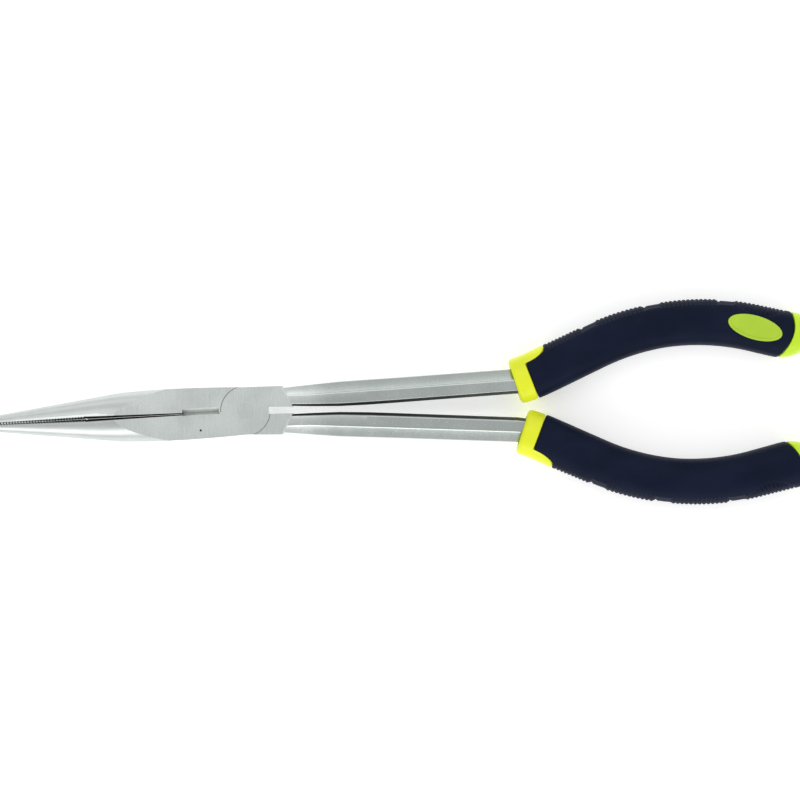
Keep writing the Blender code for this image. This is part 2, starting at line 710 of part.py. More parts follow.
def add_collar(name, lever, line):
    """The hard ring at the front of a grip, with its tongue and the mouth for the shank."""
    tongue_end = TONGUE_LOBE[0] + 2 * TONGUE_LOBE[2]
    collar = add(name, grip_form(line, 0.0, tongue_end), YELLOW, lever)
    shaped(collar, "INTERSECT", collar_zone(line), "zone")
    front = COLLAR_FRONT + line.lead
    bore = arm(front - COLLAR_LENGTH, front + 3 * COLLAR_LENGTH, TANG_CLEARANCE)
    shaped(collar, "DIFFERENCE", bore, "tang_bore")
    mouth = arm(front - COLLAR_LENGTH, front + RECESS_DEPTH, RECESS_MARGIN)
    shaped(collar, "DIFFERENCE", mouth, "mouth")
    room = core_form(line, COLLAR_LENGTH, tongue_end, SLEEVE_WALL - SEAM_GAP)
    shaped(collar, "DIFFERENCE", room, "liner_room")


def add_liner(name, lever, line):
    """The hard inner sleeve on the tang."""
    form = core_form(line, COLLAR_LENGTH + SEAM_GAP, LINER_END, SLEEVE_WALL)
    liner = add(name, form, LINER, lever)
    bore = arm(COLLAR_FRONT - COLLAR_LENGTH, ARM_END + SEAM_GAP, TANG_CLEARANCE)
    shaped(liner, "DIFFERENCE", bore, "tang_bore")


def add_sleeve(name, lever, line, with_badge):
    """The soft sleeve over the liner, with its tread."""
    sleeve = add(name, grip_form(line, COLLAR_LENGTH / 2, CAP_ARC_APEX + SLEEVE_SPARE), NAVY, lever)
    shaped(sleeve, "DIFFERENCE", collar_zone(line, SEAM_GAP), "collar_zone")
    shaped(sleeve, "INTERSECT", sleeve_zone(line), "rear_end")
    shaped(sleeve, "DIFFERENCE", tread_cutter(line), "tread")
    room = core_form(line, MM, LINER_END + SEAM_GAP, SLEEVE_WALL - SEAM_GAP)
    shaped(sleeve, "DIFFERENCE", room, "liner_room")
    if with_badge:
        seat = oval(line, SEAM_GAP / 2, BADGE_FLOOR - SEAM_GAP, 2 * BADGE_TOP)
        shaped(sleeve, "DIFFERENCE", seat, "badge_seat")


def add_end_cap(name, lever, line):
    """The hard cap that closes the grip."""
    cap = add(name, grip_form(line, CAP_START, GRIP_LENGTH), YELLOW, lever)
    shaped(cap, "DIFFERENCE", sleeve_end_zone(line, SEAM_GAP), "sleeve_end")


def add_grip(prefix, lever, line, with_badge):
    """All pieces of one grip."""
    add_collar(f"{prefix}_collar", lever, line)
    add_liner(f"{prefix}_grip_liner", lever, line)
    add_sleeve(f"{prefix}_grip_sleeve", lever, line, with_badge)
    add_end_cap(f"{prefix}_end_cap", lever, line)
    if with_badge:
        add(f"{prefix}_badge", badge(line), BADGE, lever)


def main():
    for old in list(bpy.data.objects):
        bpy.data.objects.remove(old)
    front_lever = lever_at_pivot("front_lever", False)
    back_lever = lever_at_pivot("back_lever", True)
    add_forging("front_half", front_lever, JAW_CANT, True)
    add_rivet(front_lever)
    add_grip("upper", front_lever, UPPER_GRIP, True)
    add_forging("back_half", back_lever, -JAW_CANT, False)
    add_grip("lower", back_lever, LOWER_GRIP, False)


main()
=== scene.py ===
"""Looks of the long-reach fishing pliers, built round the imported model.

Everything is in metres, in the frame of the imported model: X runs from the jaws to the grips, Y across the
tool in the plane in which it opens, and Z up along the rivet. Both levers are the same forms. Each is
modelled in a pivot frame as the lever whose jaw lies at -Y and whose handle lies at +Y, and half a turn
about X makes the other one.
"""

import json
import logging
import math
from collections.abc import Callable, Sequence
from dataclasses import dataclass, field, replace
from enum import Enum, IntEnum

import bmesh
import bpy
from mathutils import Matrix, Vector


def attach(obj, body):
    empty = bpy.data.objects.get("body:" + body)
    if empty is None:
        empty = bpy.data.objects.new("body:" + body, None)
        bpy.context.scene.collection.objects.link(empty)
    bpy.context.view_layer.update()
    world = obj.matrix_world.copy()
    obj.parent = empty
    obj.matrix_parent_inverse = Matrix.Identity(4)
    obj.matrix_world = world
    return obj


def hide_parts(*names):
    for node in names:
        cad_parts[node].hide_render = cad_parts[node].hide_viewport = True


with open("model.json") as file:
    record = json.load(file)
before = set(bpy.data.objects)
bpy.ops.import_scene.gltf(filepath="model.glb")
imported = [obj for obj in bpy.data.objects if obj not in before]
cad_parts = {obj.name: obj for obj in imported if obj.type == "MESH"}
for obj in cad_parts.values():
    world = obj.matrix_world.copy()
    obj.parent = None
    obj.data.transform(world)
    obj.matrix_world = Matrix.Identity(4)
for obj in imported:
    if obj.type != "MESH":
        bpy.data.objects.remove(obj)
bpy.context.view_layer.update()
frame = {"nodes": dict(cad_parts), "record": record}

MM = 0.001
HAIR = 1e-6
LOG = logging.getLogger("pliers")


# Shader writing


class Socket:
    """An output of a shader node that takes part in Python sums as a number that varies over a surface."""

    def __init__(self, graph: "Graph", link: bpy.types.NodeSocket) -> None:
        """Wrap a socket.

        Args:
            graph: The material that the socket belongs to.
            link: The node's output.
        """
        self.graph = graph
        self.link = link

    def _maths(self, operation: str, *values: "Socket | float") -> "Socket":
        """Add a Math node.

        Args:
            operation: The node's operation.
            values: Its inputs in order.

        Returns:
            The node's result.
        """
        return self.graph.node("ShaderNodeMath", {"operation": operation}, dict(enumerate(values)))

    def __add__(self, other: "Socket | float") -> "Socket":
        """Return the sum."""
        return self._maths("ADD", self, other)

    def __radd__(self, other: float) -> "Socket":
        """Return the sum, with the number first."""
        return self._maths("ADD", other, self)

    def __sub__(self, other: "Socket | float") -> "Socket":
        """Return the difference."""
        return self._maths("SUBTRACT", self, other)

    def __rsub__(self, other: float) -> "Socket":
        """Return the difference, with the number first."""
        return self._maths("SUBTRACT", other, self)

    def __mul__(self, other: "Socket | float") -> "Socket":
        """Return the product."""
        return self._maths("MULTIPLY", self, other)

    def __rmul__(self, other: float) -> "Socket":
        """Return the product, with the number first."""
        return self._maths("MULTIPLY", other, self)

    def __pow__(self, power: float) -> "Socket":
        """Return the power."""
        return self._maths("POWER", self, power)

    def between(self, low: float, high: float) -> "Socket":
        """Spread the values from low to high over 0 to 1, and hold them there.

        Args:
            low: The value that becomes 0.
            high: The value that becomes 1.

        Returns:
            The spread value.
        """
        inputs = {"Value": self, "From Min": low, "From Max": high}
        return self.graph.node("ShaderNodeMapRange", {"interpolation_type": "SMOOTHSTEP"}, inputs)


class Graph:
    """The node tree of one material, written through one node method."""

    def __init__(self, name: str) -> None:
        """Start an empty material.

        Args:
            name: The material's name.
        """
        self.material = bpy.data.materials.new(name)
        self.material.use_nodes = True
        self.tree = self.material.node_tree
        self.shader = self.tree.nodes["Principled BSDF"]

    def node(self, kind: str, settings: dict, inputs: dict, output: int | str = 0) -> Socket:
        """Add a node.

        Args:
            kind: The node's type.
            settings: Its properties, set before its sockets.
            inputs: Values or sockets, by input name or number.
            output: Which output to return.

        Returns:
            The chosen output.
        """
        made = self.tree.nodes.new(kind)
        for key, value in settings.items():
            setattr(made, key, value)
        for key, value in inputs.items():
            self.feed(made.inputs[key], value)
        return Socket(self, made.outputs[output])

    def feed(self, target: bpy.types.NodeSocket, value: "Socket | float | Sequence[float]") -> None:
        """Link a socket to an input, or set the input's own value.

        Args:
            target: The input.
            value: A socket, a number or a vector.
        """
        if isinstance(value, Socket):
            self.tree.links.new(value.link, target)
        else:
            target.default_value = value

    def where(self) -> Socket:
        """Return the object coordinates, in metres."""
        return self.node("ShaderNodeTexCoord", {}, {}, "Object")

    def place(self, stretch: Sequence[float]) -> Socket:
        """Return the object coordinates, stretched.

        Args:
            stretch: The scale along each axis, per metre.

        Returns:
            The vector.
        """
        return self.node("ShaderNodeMapping", {}, {"Vector": self.where(), "Scale": stretch})

    def noise(self, stretch: Sequence[float], detail: float = 3.0, roughness: float = 0.55) -> Socket:
        """Return noise on the object coordinates.

        Args:
            stretch: The scale along each axis, per metre.
            detail: How many finer layers it has.
            roughness: How strong they are.

        Returns:
            The noise's value, from 0 to 1.
        """
        inputs = {"Vector": self.place(stretch), "Scale": 1.0, "Detail": detail, "Roughness": roughness}
        return self.node("ShaderNodeTexNoise", {}, inputs)

    def along_x(self) -> Socket:
        """Return the place along the tool, in metres."""
        return self.node("ShaderNodeSeparateXYZ", {}, {"Vector": self.where()})

    def blend(
        self, amount: Socket, first: "Socket | Sequence[float]", second: Sequence[float]
    ) -> Socket:
        """Mix two colours.

        Args:
            amount: The share of the second colour.
            first: The colour at 0.
            second: The colour at 1.

        Returns:
            The mixed colour.
        """
        start = first if isinstance(first, Socket) else (*first, 1.0)
        inputs = {0: amount, 6: start, 7: (*second, 1.0)}
        return self.node("ShaderNodeMix", {"data_type": "RGBA"}, inputs, 2)

    def bump(self, height: Socket, depth: float) -> Socket:
        """Turn a height into a normal.

        Args:
            height: The height, from 0 to 1.
            depth: What a height of 1 stands for, in metres.

        Returns:
            The normal.
        """
        return self.node("ShaderNodeBump", {}, {"Height": height, "Distance": depth, "Strength": 1.0})

    def finish(self, **inputs: "Socket | float | Sequence[float]") -> bpy.types.Material:
        """Feed the Principled shader.

        Args:
            inputs: Values by input name, with underscores for spaces.

        Returns:
            The material.
        """
        for key, value in inputs.items():
            self.feed(self.shader.inputs[key.replace("_", " ")], value)
        return self.material


# Finishes


class GrainRun(Enum):
    """Which way the grinding marks run on a piece of steel, as the scale of their noise."""

    ALONG = (160.0, 9000.0, 9000.0)
    ACROSS = (9000.0, 260.0, 900.0)


class SteelFace(IntEnum):
    """Which of a forging's finishes a face has."""

    GROUND = 0
    # Cutter bevels: near-white, half-metallic finish as a painted highlight.
    CUTTER_BEVEL = 1
    # Bite faces: near-black finish as painted shade for the dark gap between the closed jaws; the punch
    # mark's dimple shares it.
    BITE = 2
    # Inner faces behind the joint: dark finish as painted shade for the dark reflection these faces show.
    SKIN = 3
    NOSE = 4


@dataclass(frozen=True)
class GroundSteel:
    """Ground and buffed tool steel with faint wheel marks and cloudy patches.

    With a shank share, the steel behind the joint is greyer, as it comes from a coarser wheel.
    """

    name: str
    light: tuple[float, float, float] = (0.735, 0.785, 0.765)
    dark: tuple[float, float, float] = (0.66, 0.71, 0.69)
    roughness: float = 0.24
    grain: GrainRun = GrainRun.ACROSS
    shank: tuple[float, float, float] = (0.44, 0.485, 0.465)
    shank_share: float = 0.0
    metal: float = 1.0
    shank_start: float = -38.0 * MM
    shank_full: float = -22.0 * MM
    shank_mottle: float = 0.25
    cloud_scale: float = 90.0
    cloud_share: float = 0.55
    speck_scale: float = 2600.0
    relief: float = 0.004 * MM

    def build(self) -> bpy.types.Material:
        """Return the material."""
        graph = Graph(self.name)
        marks = graph.noise(self.grain.value, 2.0)
        clouds = graph.noise((self.cloud_scale,) * 3, 4.0)
        specks = graph.noise((self.speck_scale,) * 3, 2.0).between(0.66, 0.74)
        shade = (clouds * self.cloud_share + marks * (1 - self.cloud_share)).between(0.38, 0.62)
        colour = graph.blend(shade, self.dark, self.light)
        if self.shank_share:
            behind = graph.along_x().between(self.shank_start, self.shank_full)
            greyer = behind * (self.shank_share - self.shank_mottle * clouds)
            colour = graph.blend(greyer, colour, self.shank)
        rough = self.roughness + 0.10 * (clouds - 0.5) + 0.08 * (marks - 0.5) + 0.10 * specks
        normal = graph.bump(marks * 0.8 + clouds * 0.2 - specks * 0.4, self.relief)
        return graph.finish(Base_Color=colour, Roughness=rough, Metallic=self.metal, Normal=normal)


@dataclass(frozen=True)
class MouldedPlastic:
    """Hard semi-gloss plastic with the faint grain of its mould."""

    name: str
    light: tuple[float, float, float]
    dark: tuple[float, float, float]
    roughness: float = 0.36
    pore_scale: float = 1900.0
    flow_scale: tuple[float, float, float] = (70.0, 110.0, 70.0)
    relief: float = 0.012 * MM

    def build(self) -> bpy.types.Material:
        """Return the material."""
        graph = Graph(self.name)
        pores = graph.noise((self.pore_scale,) * 3)
        flow = graph.noise(self.flow_scale)
        colour = graph.blend(flow.between(0.35, 0.65), self.dark, self.light)
        rough = self.roughness + 0.12 * (flow - 0.5) + 0.08 * (pores - 0.5)
        normal = graph.bump(pores, self.relief)
        return graph.finish(Base_Color=colour, Roughness=rough, Normal=normal, IOR=1.46)


@dataclass(frozen=True)
class GripRubber:
    """Soft grip rubber, finely pitted, with a trace of dust."""

    name: str
    deep: tuple[float, float, float] = (0.0022, 0.0062, 0.023)
    worn: tuple[float, float, float] = (0.0052, 0.0105, 0.032)
    roughness: float = 0.55
    specular_level: float = 0.12
    pit_scale: float = 3200.0
    smudge_scale: tuple[float, float, float] = (60.0, 90.0, 60.0)
    relief: float = 0.03 * MM

    def build(self) -> bpy.types.Material:
        """Return the material."""
        graph = Graph(self.name)
        pits = graph.noise((self.pit_scale,) * 3, roughness=0.6)
        smudge = graph.noise(self.smudge_scale, 4.0)
        colour = graph.blend(smudge.between(0.35, 0.7), self.deep, self.worn)
        rough = self.roughness + 0.14 * (smudge - 0.5) + 0.16 * (pits - 0.5)
        normal = graph.bump(pits, self.relief)
        return graph.finish(
            Base_Color=colour, Roughness=rough, Normal=normal, Specular_IOR_Level=self.specular_level
        )


# Mesh work


class Shape:
    """Mesh operations that every piece is made with."""

    @staticmethod
    def outward(mesh: bmesh.types.BMesh) -> bmesh.types.BMesh:
        """Turn a closed mesh's faces outwards and return it."""
        bmesh.ops.recalc_face_normals(mesh, faces=mesh.faces)
        return mesh

    @staticmethod
    def prism(outline: Sequence[Sequence[float]], low: float, high: float) -> bmesh.types.BMesh:
        """Extrude a flat outline upwards.

        Args:
            outline: Its corners.
            low: The height of its floor.
            high: The height of its top.

        Returns:
            The closed solid.
        """
        mesh = bmesh.new()
        corners = [mesh.verts.new((x, y, low)) for x, y in outline]
        sides = [mesh.edges.new(pair) for pair in zip(corners, corners[1:] + corners[:1])]
        floor = bmesh.ops.edgeloop_fill(mesh, edges=sides)["faces"]
        raised = bmesh.ops.extrude_face_region(mesh, geom=floor)["geom"]
        top = [item for item in raised if isinstance(item, bmesh.types.BMVert)]
        bmesh.ops.translate(mesh, verts=top, vec=(0.0, 0.0, high - low))
        return Shape.outward(mesh)

    @staticmethod
    def drum(radius: float, low: float, high: float, segments: int = 180) -> bmesh.types.BMesh:
        """Make an upright cylinder about the pivot.

        Args:
            radius: Its radius.
            low: The height of its floor.
            high: The height of its top.
            segments: Its number of sides.

        Returns:
            The closed solid.
        """
        mesh = bmesh.new()
        bmesh.ops.create_cone(
            mesh, cap_ends=True, segments=segments, radius1=radius, radius2=radius, depth=high - low
        )
        bmesh.ops.translate(mesh, verts=mesh.verts, vec=(0.0, 0.0, (high + low) / 2))
        return mesh

    @staticmethod
    def wrapped(
        columns: int, rows: int, place: Callable[[float, int], Vector], looped: bool = False
    ) -> bmesh.types.BMesh:
        """Wrap a grid round a form, so that its first and last columns meet.

        Args:
            columns: The number of faces round the form.
            rows: The number of faces along it.
            place: Gives a point from a share of the turn round the form and a row's number.
            looped: Whether the last row meets the first one. If not, both ends are closed by a face.

        Returns:
            The closed solid.
        """
        mesh = bmesh.new()
        bmesh.ops.create_grid(mesh, x_segments=columns, y_segments=rows, size=1.0)
        for vert in mesh.verts:
            turn = round((vert.co.x + 1) / 2 * columns) % columns / columns
            row = round((vert.co.y + 1) / 2 * rows)
            vert.co = place(turn, row % rows if looped else row)
        bmesh.ops.remove_doubles(mesh, verts=mesh.verts, dist=1e-7)
        if not looped:
            rims = [edge for edge in mesh.edges if edge.is_boundary]
            bmesh.ops.holes_fill(mesh, edges=rims, sides=0)
        return Shape.outward(mesh)

    @staticmethod
    def object_of(name: str, mesh: bmesh.types.BMesh) -> bpy.types.Object:
        """Put a mesh in the scene.

        Args:
            name: The object's name.
            mesh: Its mesh, which is freed.

        Returns:
            The object, at the origin.
        """
        data = bpy.data.meshes.new(name)
        mesh.to_mesh(data)
        mesh.free()
        made = bpy.data.objects.new(name, data)
        bpy.context.scene.collection.objects.link(made)
        return made

    @staticmethod
    def carved(
        name: str, blank: bmesh.types.BMesh, steps: Sequence[tuple[str, bmesh.types.BMesh]]
    ) -> bmesh.types.BMesh:
        """Run Boolean steps on a blank.

        Args:
            name: A name for the helpers.
            blank: The solid to start from.
            steps: Each step's operation and other solid.

        Returns:
            The result.
        """
        body = Shape.object_of(name, blank)
        tools = []
        for operation, tool in steps:
            step = body.modifiers.new(operation, "BOOLEAN")
            step.operation = operation
            step.solver = "EXACT"
            step.object = Shape.object_of(f"{name}_tool", tool)
            tools.append(step.object)
        bpy.context.view_layer.update()
        graph = bpy.context.evaluated_depsgraph_get()
        result = bmesh.new()
        result.from_mesh(body.evaluated_get(graph).data)
        for helper in [body, *tools]:
            bpy.data.objects.remove(helper)
        return result

    @staticmethod
    def eased(
        mesh: bmesh.types.BMesh, edges: Sequence[bmesh.types.BMEdge], offset: float, segments: int
    ) -> None:
        """Chamfer edges, or round them with more than one segment.

        Args:
            mesh: The mesh.
            edges: Its edges to take off.
            offset: How far the cut reaches from them.
            segments: The number of faces across the cut.
        """
        bmesh.ops.bevel(
            mesh, geom=edges, offset=offset, segments=segments, profile=0.5, affect="EDGES", material=-1
        )

    @staticmethod
    def crease(mesh: bmesh.types.BMesh, angle: float) -> None:
        """Shade a mesh smooth, apart from its sharp edges and the borders of its level faces.

        Args:
            mesh: The mesh.
            angle: Edges that turn by more than this are sharp.
        """
        level = 0.99999
        mesh.normal_update()
        for face in mesh.faces:
            face.smooth = True
        for edge in mesh.edges:
            sides = [abs(face.normal.z) > level for face in edge.link_faces]
            edge.smooth = not (len(set(sides)) > 1 or edge.calc_face_angle(0.0) > angle)


@dataclass(frozen=True)
class Route:
    """A flat line of straight runs and bends, measured by its length from the start.

    The lead is how far along the line its measure begins.
    """

    corners: tuple[tuple[float, float], ...]
    bends: tuple[float, ...]
    lead: float = 0.0

    def runs(self) -> list[tuple[Vector, float, float, float]]:
        """Return each run's start, heading, length and turn."""
        points = [Vector(corner) * MM for corner in self.corners]
        runs = []
        start = points[0]
        for before, corner, after, bend in zip(points, points[1:], points[2:], self.bends):
            heading = math.atan2(*(corner - before).yx)
            turn = math.atan2(*(after - corner).yx) - heading
            cut = bend * MM * abs(math.tan(turn / 2))
            first = corner - (corner - before).normalized() * cut
            runs.append((start, heading, (first - start).length, 0.0))
            runs.append((first, heading, abs(turn) * bend * MM, turn))
            start = corner + (after - corner).normalized() * cut
        last = points[-1] - start
        return runs + [(start, math.atan2(*last.yx), last.length, 0.0)]

    def sampler(self) -> Callable[[float, float, float], Vector]:
        """Return a function that places a point so far along the line, to its outer side, and up."""
        runs = self.runs()

        def place(distance: float, outwards: float, height: float = 0.0) -> Vector:
            """Place one point.

            Args:
                distance: How far along the line.
                outwards: How far to its outer side.
                height: How far up.

            Returns:
                The point in the pivot frame.
            """
            distance += self.lead
            for index, (start, heading, length, turn) in enumerate(runs):
                if distance <= length or index == len(runs) - 1:
                    break
                distance -= length
            if turn:
                radius = length / turn
                now = heading + distance / radius
                swing = Vector((math.sin(now) - math.sin(heading), math.cos(heading) - math.cos(now)))
                point = start + swing * radius
            else:
                now = heading
                point = start + Vector((math.cos(now), math.sin(now))) * distance
            return Vector((point.x - math.sin(now) * outwards, point.y + math.cos(now) * outwards, height))

        return place


def spaced(start: float, end: float, size: float) -> list[float]:
    """Return evenly spaced values from start to end, at most so far apart."""
    count = max(1, math.ceil((end - start) / size - 1e-6))
    return [start + (end - start) * index / count for index in range(count + 1)]


def between(rows: Sequence[Sequence[float]], distance: float) -> list[float]:
    """Read a table of stations in millimetres at a distance, and return metres."""
    for low, high in zip(rows, rows[1:]):
        if distance <= high[0] * MM:
            break
    share = min(max((distance / MM - low[0]) / (high[0] - low[0]), 0.0), 1.0)
    return [(a + (b - a) * share) * MM for a, b in zip(low[1:], high[1:])]


def rounded_section(across: float, through: float, power: float, angle: float) -> tuple[float, float]:
    """Return the point of a superellipse at an angle."""
    cosine, sine = math.cos(angle), math.sin(angle)
    return (
        across * math.copysign(abs(cosine) ** (2 / power), cosine),
        through * math.copysign(abs(sine) ** (2 / power), sine),
    )


@dataclass(frozen=True)
class Lever:
    """One of the two levers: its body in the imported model, and how its pivot frame lies."""

    body: str
    prefix: str
    turned_over: bool

    def placed(self, mesh: bmesh.types.BMesh) -> bmesh.types.BMesh:
        """Carry a mesh from the pivot frame to its place and return it."""
        hinge = Vector(frame["record"]["behaviour"]["joints"][0]["pos_m"])
        turn = Matrix.Rotation(math.pi if self.turned_over else 0.0, 4, "X")
        bmesh.ops.transform(mesh, matrix=Matrix.Translation(hinge) @ turn, verts=mesh.verts)
        return mesh

    def add(
        self, name: str, mesh: bmesh.types.BMesh, node: str, slot: str, *finishes: bpy.types.Material
    ) -> bpy.types.Object:
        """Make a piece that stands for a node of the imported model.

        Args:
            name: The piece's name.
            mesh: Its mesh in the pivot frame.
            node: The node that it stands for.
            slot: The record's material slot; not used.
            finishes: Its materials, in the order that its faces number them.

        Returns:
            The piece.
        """
        piece = Shape.object_of(name, self.placed(mesh))
        for finish in finishes:
            piece.data.materials.append(finish)
        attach(piece, self.body)
        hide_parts(node)
        LOG.info("%s: %d faces on %s", name, len(piece.data.polygons), self.body)
        return piece


# Steel


@dataclass(frozen=True)
class Forging:
    """A steel half: jaw, lap disc, cheek, shank and tang."""

    lever: Lever
    finishes: tuple[bpy.types.Material, ...]
    jaw_reach: float = 88.5 * MM
    cant: float = math.radians(1.82)
    half_thickness: float = 5.25 * MM
    lap_half_gap: float = 0.1 * MM
    disc_radius: float = 8.25 * MM
    recess_radius: float = 8.45 * MM
    joint_half_height: float = 8.0 * MM
    bore_radius: float = 2.606 * MM
    slot_start: float = 7.75 * MM
    slot_half_height: float = 1.15 * MM
    cheek_end_inner: float = 16.0 * MM
    cheek_end_outer: float = 12.6 * MM
    cheek_chamfer: float = 0.55 * MM
    cheek_draft: float = 0.05 * MM
    cheek_rise: float = 0.2 * MM
    shoulder: float = 26.0 * MM
    shoulder_half_height: float = 8.7 * MM
    nose_start: float = 43.0 * MM
    tip_half_height: float = 2.3 * MM
    tip_half_thickness: float = 1.9 * MM
    height_taper: float = 0.1285
    thickness_taper: float = 0.068
    flare_start: float = 36.0 * MM
    flare: float = 5.5
    tip_rounding: float = 1.0 * MM
    tip_half_gap: float = 0.15 * MM
    bite_half_gap: float = 0.62 * MM
    bite_start: float = 53.4 * MM
    tooth_pitch: float = 1.0 * MM
    tooth_depth: float = 0.35 * MM
    relief_depth: float = 0.25 * MM
    cutter_start: float = 8.6 * MM
    cutter_end: float = 21.1 * MM
    cutter_half_gap: float = 0.025 * MM
    cutter_half_land: float = 0.1 * MM
    near_bevel: float = 0.75 * MM
    far_bevel: float = 1.75 * MM
    ridge_half_gap: float = 0.04 * MM
    bite_reach: float = 1.6 * MM
    bevel_reach: float = 2.0 * MM
    plain_tip: float = 0.6 * MM
    arm: Route = Route(
        ((9.0, 4.5), (31.5, 4.93), (93.85, 8.31), (144.4, 31.4), (190.9, 20.0)), (1290.0, 12.0, 82.5)
    )
    arm_end: float = 169.0 * MM
    arm_stations: tuple[tuple[float, ...], ...] = (
        (0.0, 5.9, 9.2, 1.2, 1.0, 0.5, 0.6),
        (6.0, 6.45, 9.1, 2.6, 2.0, 0.6, 1.1),
        (12.7, 7.3, 8.8, 3.3, 2.5, 0.8, 1.5),
        (22.8, 8.3, 8.7, 3.6, 2.8, 0.9, 1.8),
        (32.0, 8.5, 8.6, 3.6, 2.8, 1.0, 1.9),
        (86.0, 8.4, 8.6, 3.6, 2.8, 1.0, 1.9),
        (92.0, 6.8, 6.6, 1.4, 1.4, 1.4, 1.4),
        (165.0, 6.4, 6.2, 1.4, 1.4, 1.4, 1.4),
        (169.0, 4.4, 4.4, 1.2, 1.2, 1.2, 1.2),
    )
    arm_rounding: float = 0.45 * MM
    arc_step: float = math.radians(1.5)
    sharp_angle: float = math.radians(11)
    punch_mark: tuple[float, float, float] = (-15.2 * MM, -6.27 * MM, 0.38 * MM)

    @property
    def cheek_end(self) -> tuple[Vector, Vector]:
        """The inner and the outer corner of the cheek's end towards the shank."""
        inner = Vector((self.cheek_end_inner, self.slot_half_height - self.cheek_draft))
        return inner, Vector((self.cheek_end_outer, self.joint_half_height + self.cheek_rise))

    @property
    def jaw_turn(self) -> Matrix:
        """The turn of the jaw from the handle, in the pivot frame."""
        return Matrix.Rotation(-self.cant if self.lever.turned_over else self.cant, 3, "Z")

    def canted(self, points: Sequence[Sequence[float]]) -> list[tuple[float, float]]:
        """Turn flat points with the jaw."""
        return [tuple((self.jaw_turn @ Vector((x, y, 0.0))).xy) for x, y in points]

    def arc(self, start: float, end: float) -> list[tuple[float, float]]:
        """Return points on the lap disc's rim."""
        angles = spaced(start, end, self.arc_step)
        return [(self.disc_radius * math.cos(a), self.disc_radius * math.sin(a)) for a in angles]

    def nose_axes(self, from_tip: float) -> tuple[float, float]:
        """Return the nose's half height and half thickness."""
        flare = max(0.0, from_tip - self.flare_start)
        thickness = self.tip_half_thickness + self.thickness_taper * from_tip + self.flare * flare**2
        return self.tip_half_height + self.height_taper * from_tip, thickness

    def jaw_half_height(self, ahead: float) -> float:
        """Return the closed jaws' half height at a distance ahead of the pivot."""
        if ahead > self.shoulder:
            drop = self.shoulder_half_height - self.nose_axes(self.jaw_reach - self.nose_start)[0]
            share = (ahead - self.shoulder) / (self.nose_start - self.shoulder)
        else:
            drop = self.shoulder_half_height - self.joint_half_height
            share = (self.shoulder - ahead) / self.shoulder
        return self.shoulder_half_height - drop * share**2

    def half_gap(self, ahead: float) -> float:
        """Return half the gap between the closed jaws."""
        if ahead >= self.bite_start:
            share = (self.jaw_reach - ahead) / (self.jaw_reach - self.bite_start)
            return self.tip_half_gap + (self.bite_half_gap - self.tip_half_gap) * share
        share = (self.bite_start - ahead) / (self.bite_start - self.cutter_end)
        return self.bite_half_gap + self.relief_depth + (self.tip_half_gap - self.bite_half_gap) * share

    def bite(self) -> list[tuple[float, float]]:
        """Return the jaw's inner edge: cutting edge, relief and teeth."""
        points = [
            (-self.cutter_start, -self.cutter_half_gap),
            (-self.cutter_end, -self.cutter_half_gap),
            (-self.cutter_end, -self.half_gap(self.cutter_end)),
            (-self.bite_start, -self.bite_half_gap - self.relief_depth),
        ]
        meshed = self.tooth_pitch / 2 if self.lever.turned_over else 0.0
        first = self.bite_start + self.tooth_pitch / 2 + meshed
        for valley in spaced(first, self.jaw_reach - self.tooth_pitch, self.tooth_pitch):
            crest = valley + self.tooth_pitch / 2
            points.append((-valley, -self.half_gap(valley) - self.tooth_depth))
            points.append((-crest, -self.half_gap(crest)))
        return points + [(-self.jaw_reach, -self.half_gap(self.jaw_reach))]

    def outline(self) -> list[tuple[float, float]]:
        """Return the plan of the jaw, the lap disc and the cheek, anticlockwise."""
        margin = 1.0 * MM
        jaw = [(-self.jaw_reach, -self.nose_axes(0.0)[0] - margin)]
        jaw.append((-self.nose_start, -self.nose_axes(self.jaw_reach - self.nose_start)[0] - margin))
        places = spaced(0.0, self.nose_start - margin, 1.0 * MM)
        jaw += [(-ahead, -self.jaw_half_height(ahead)) for ahead in reversed(places)]
        edge = math.asin(self.joint_half_height / self.disc_radius)
        slot = math.asin(self.slot_half_height / self.disc_radius)
        turn = -self.cant if self.lever.turned_over else self.cant
        cheek = [
            (self.slot_start, -self.slot_half_height),
            (self.slot_start, self.slot_half_height),
            *self.cheek_end,
            (0.0, self.joint_half_height),
        ]
        lower_rim = self.arc(-edge + self.arc_step, -slot)
        upper_rim = self.arc(math.pi - edge + self.arc_step, math.pi + turn)
        return self.canted(jaw) + lower_rim + cheek + upper_rim + self.canted(self.bite())

    def blank(self) -> bmesh.types.BMesh:
        """Return the jaw and joint as a slab with a chamfered end towards the shank."""
        slab = Shape.prism(self.outline(), -self.half_thickness, self.half_thickness)

        def at_end(vert: bmesh.types.BMVert) -> bool:
            """Return whether a corner is one of the cheek's end."""
            return min((vert.co.xy - end).length for end in self.cheek_end) < HAIR

        level = [edge for edge in slab.edges if abs(edge.verts[0].co.z - edge.verts[1].co.z) < HAIR]
        Shape.eased(slab, [edge for edge in level if all(map(at_end, edge.verts))], self.cheek_chamfer, 1)
        return Shape.outward(slab)

    def nose_form(self) -> bmesh.types.BMesh:
        """Return the tapered round form that the jaw is ground to, carried on over the joint."""
        stations = [(0.0, 0.74), (self.tip_rounding * 0.12, 0.87), (self.tip_rounding * 0.4, 0.96)]
        stations += [(place, 1.0) for place in spaced(self.tip_rounding, 68.0 * MM, 0.8 * MM)]
        rings = []
        for from_tip, scale in stations:
            height, thickness = self.nose_axes(from_tip)
            rings.append((from_tip - self.jaw_reach, height * scale, thickness * scale))
        clear = 20.0 * MM
        rings += [(-19.0 * MM, clear, clear), (self.cheek_end_inner + clear, clear, clear)]
        turn = self.jaw_turn

        def place(share: float, row: int) -> Vector:
            """Place a point of the form."""
            along, height, thickness = rings[row]
            across, through = rounded_section(height, thickness, 2.0, 2 * math.pi * share)
            return turn @ Vector((along, across, through))

        return Shape.wrapped(128, len(rings) - 1, place)

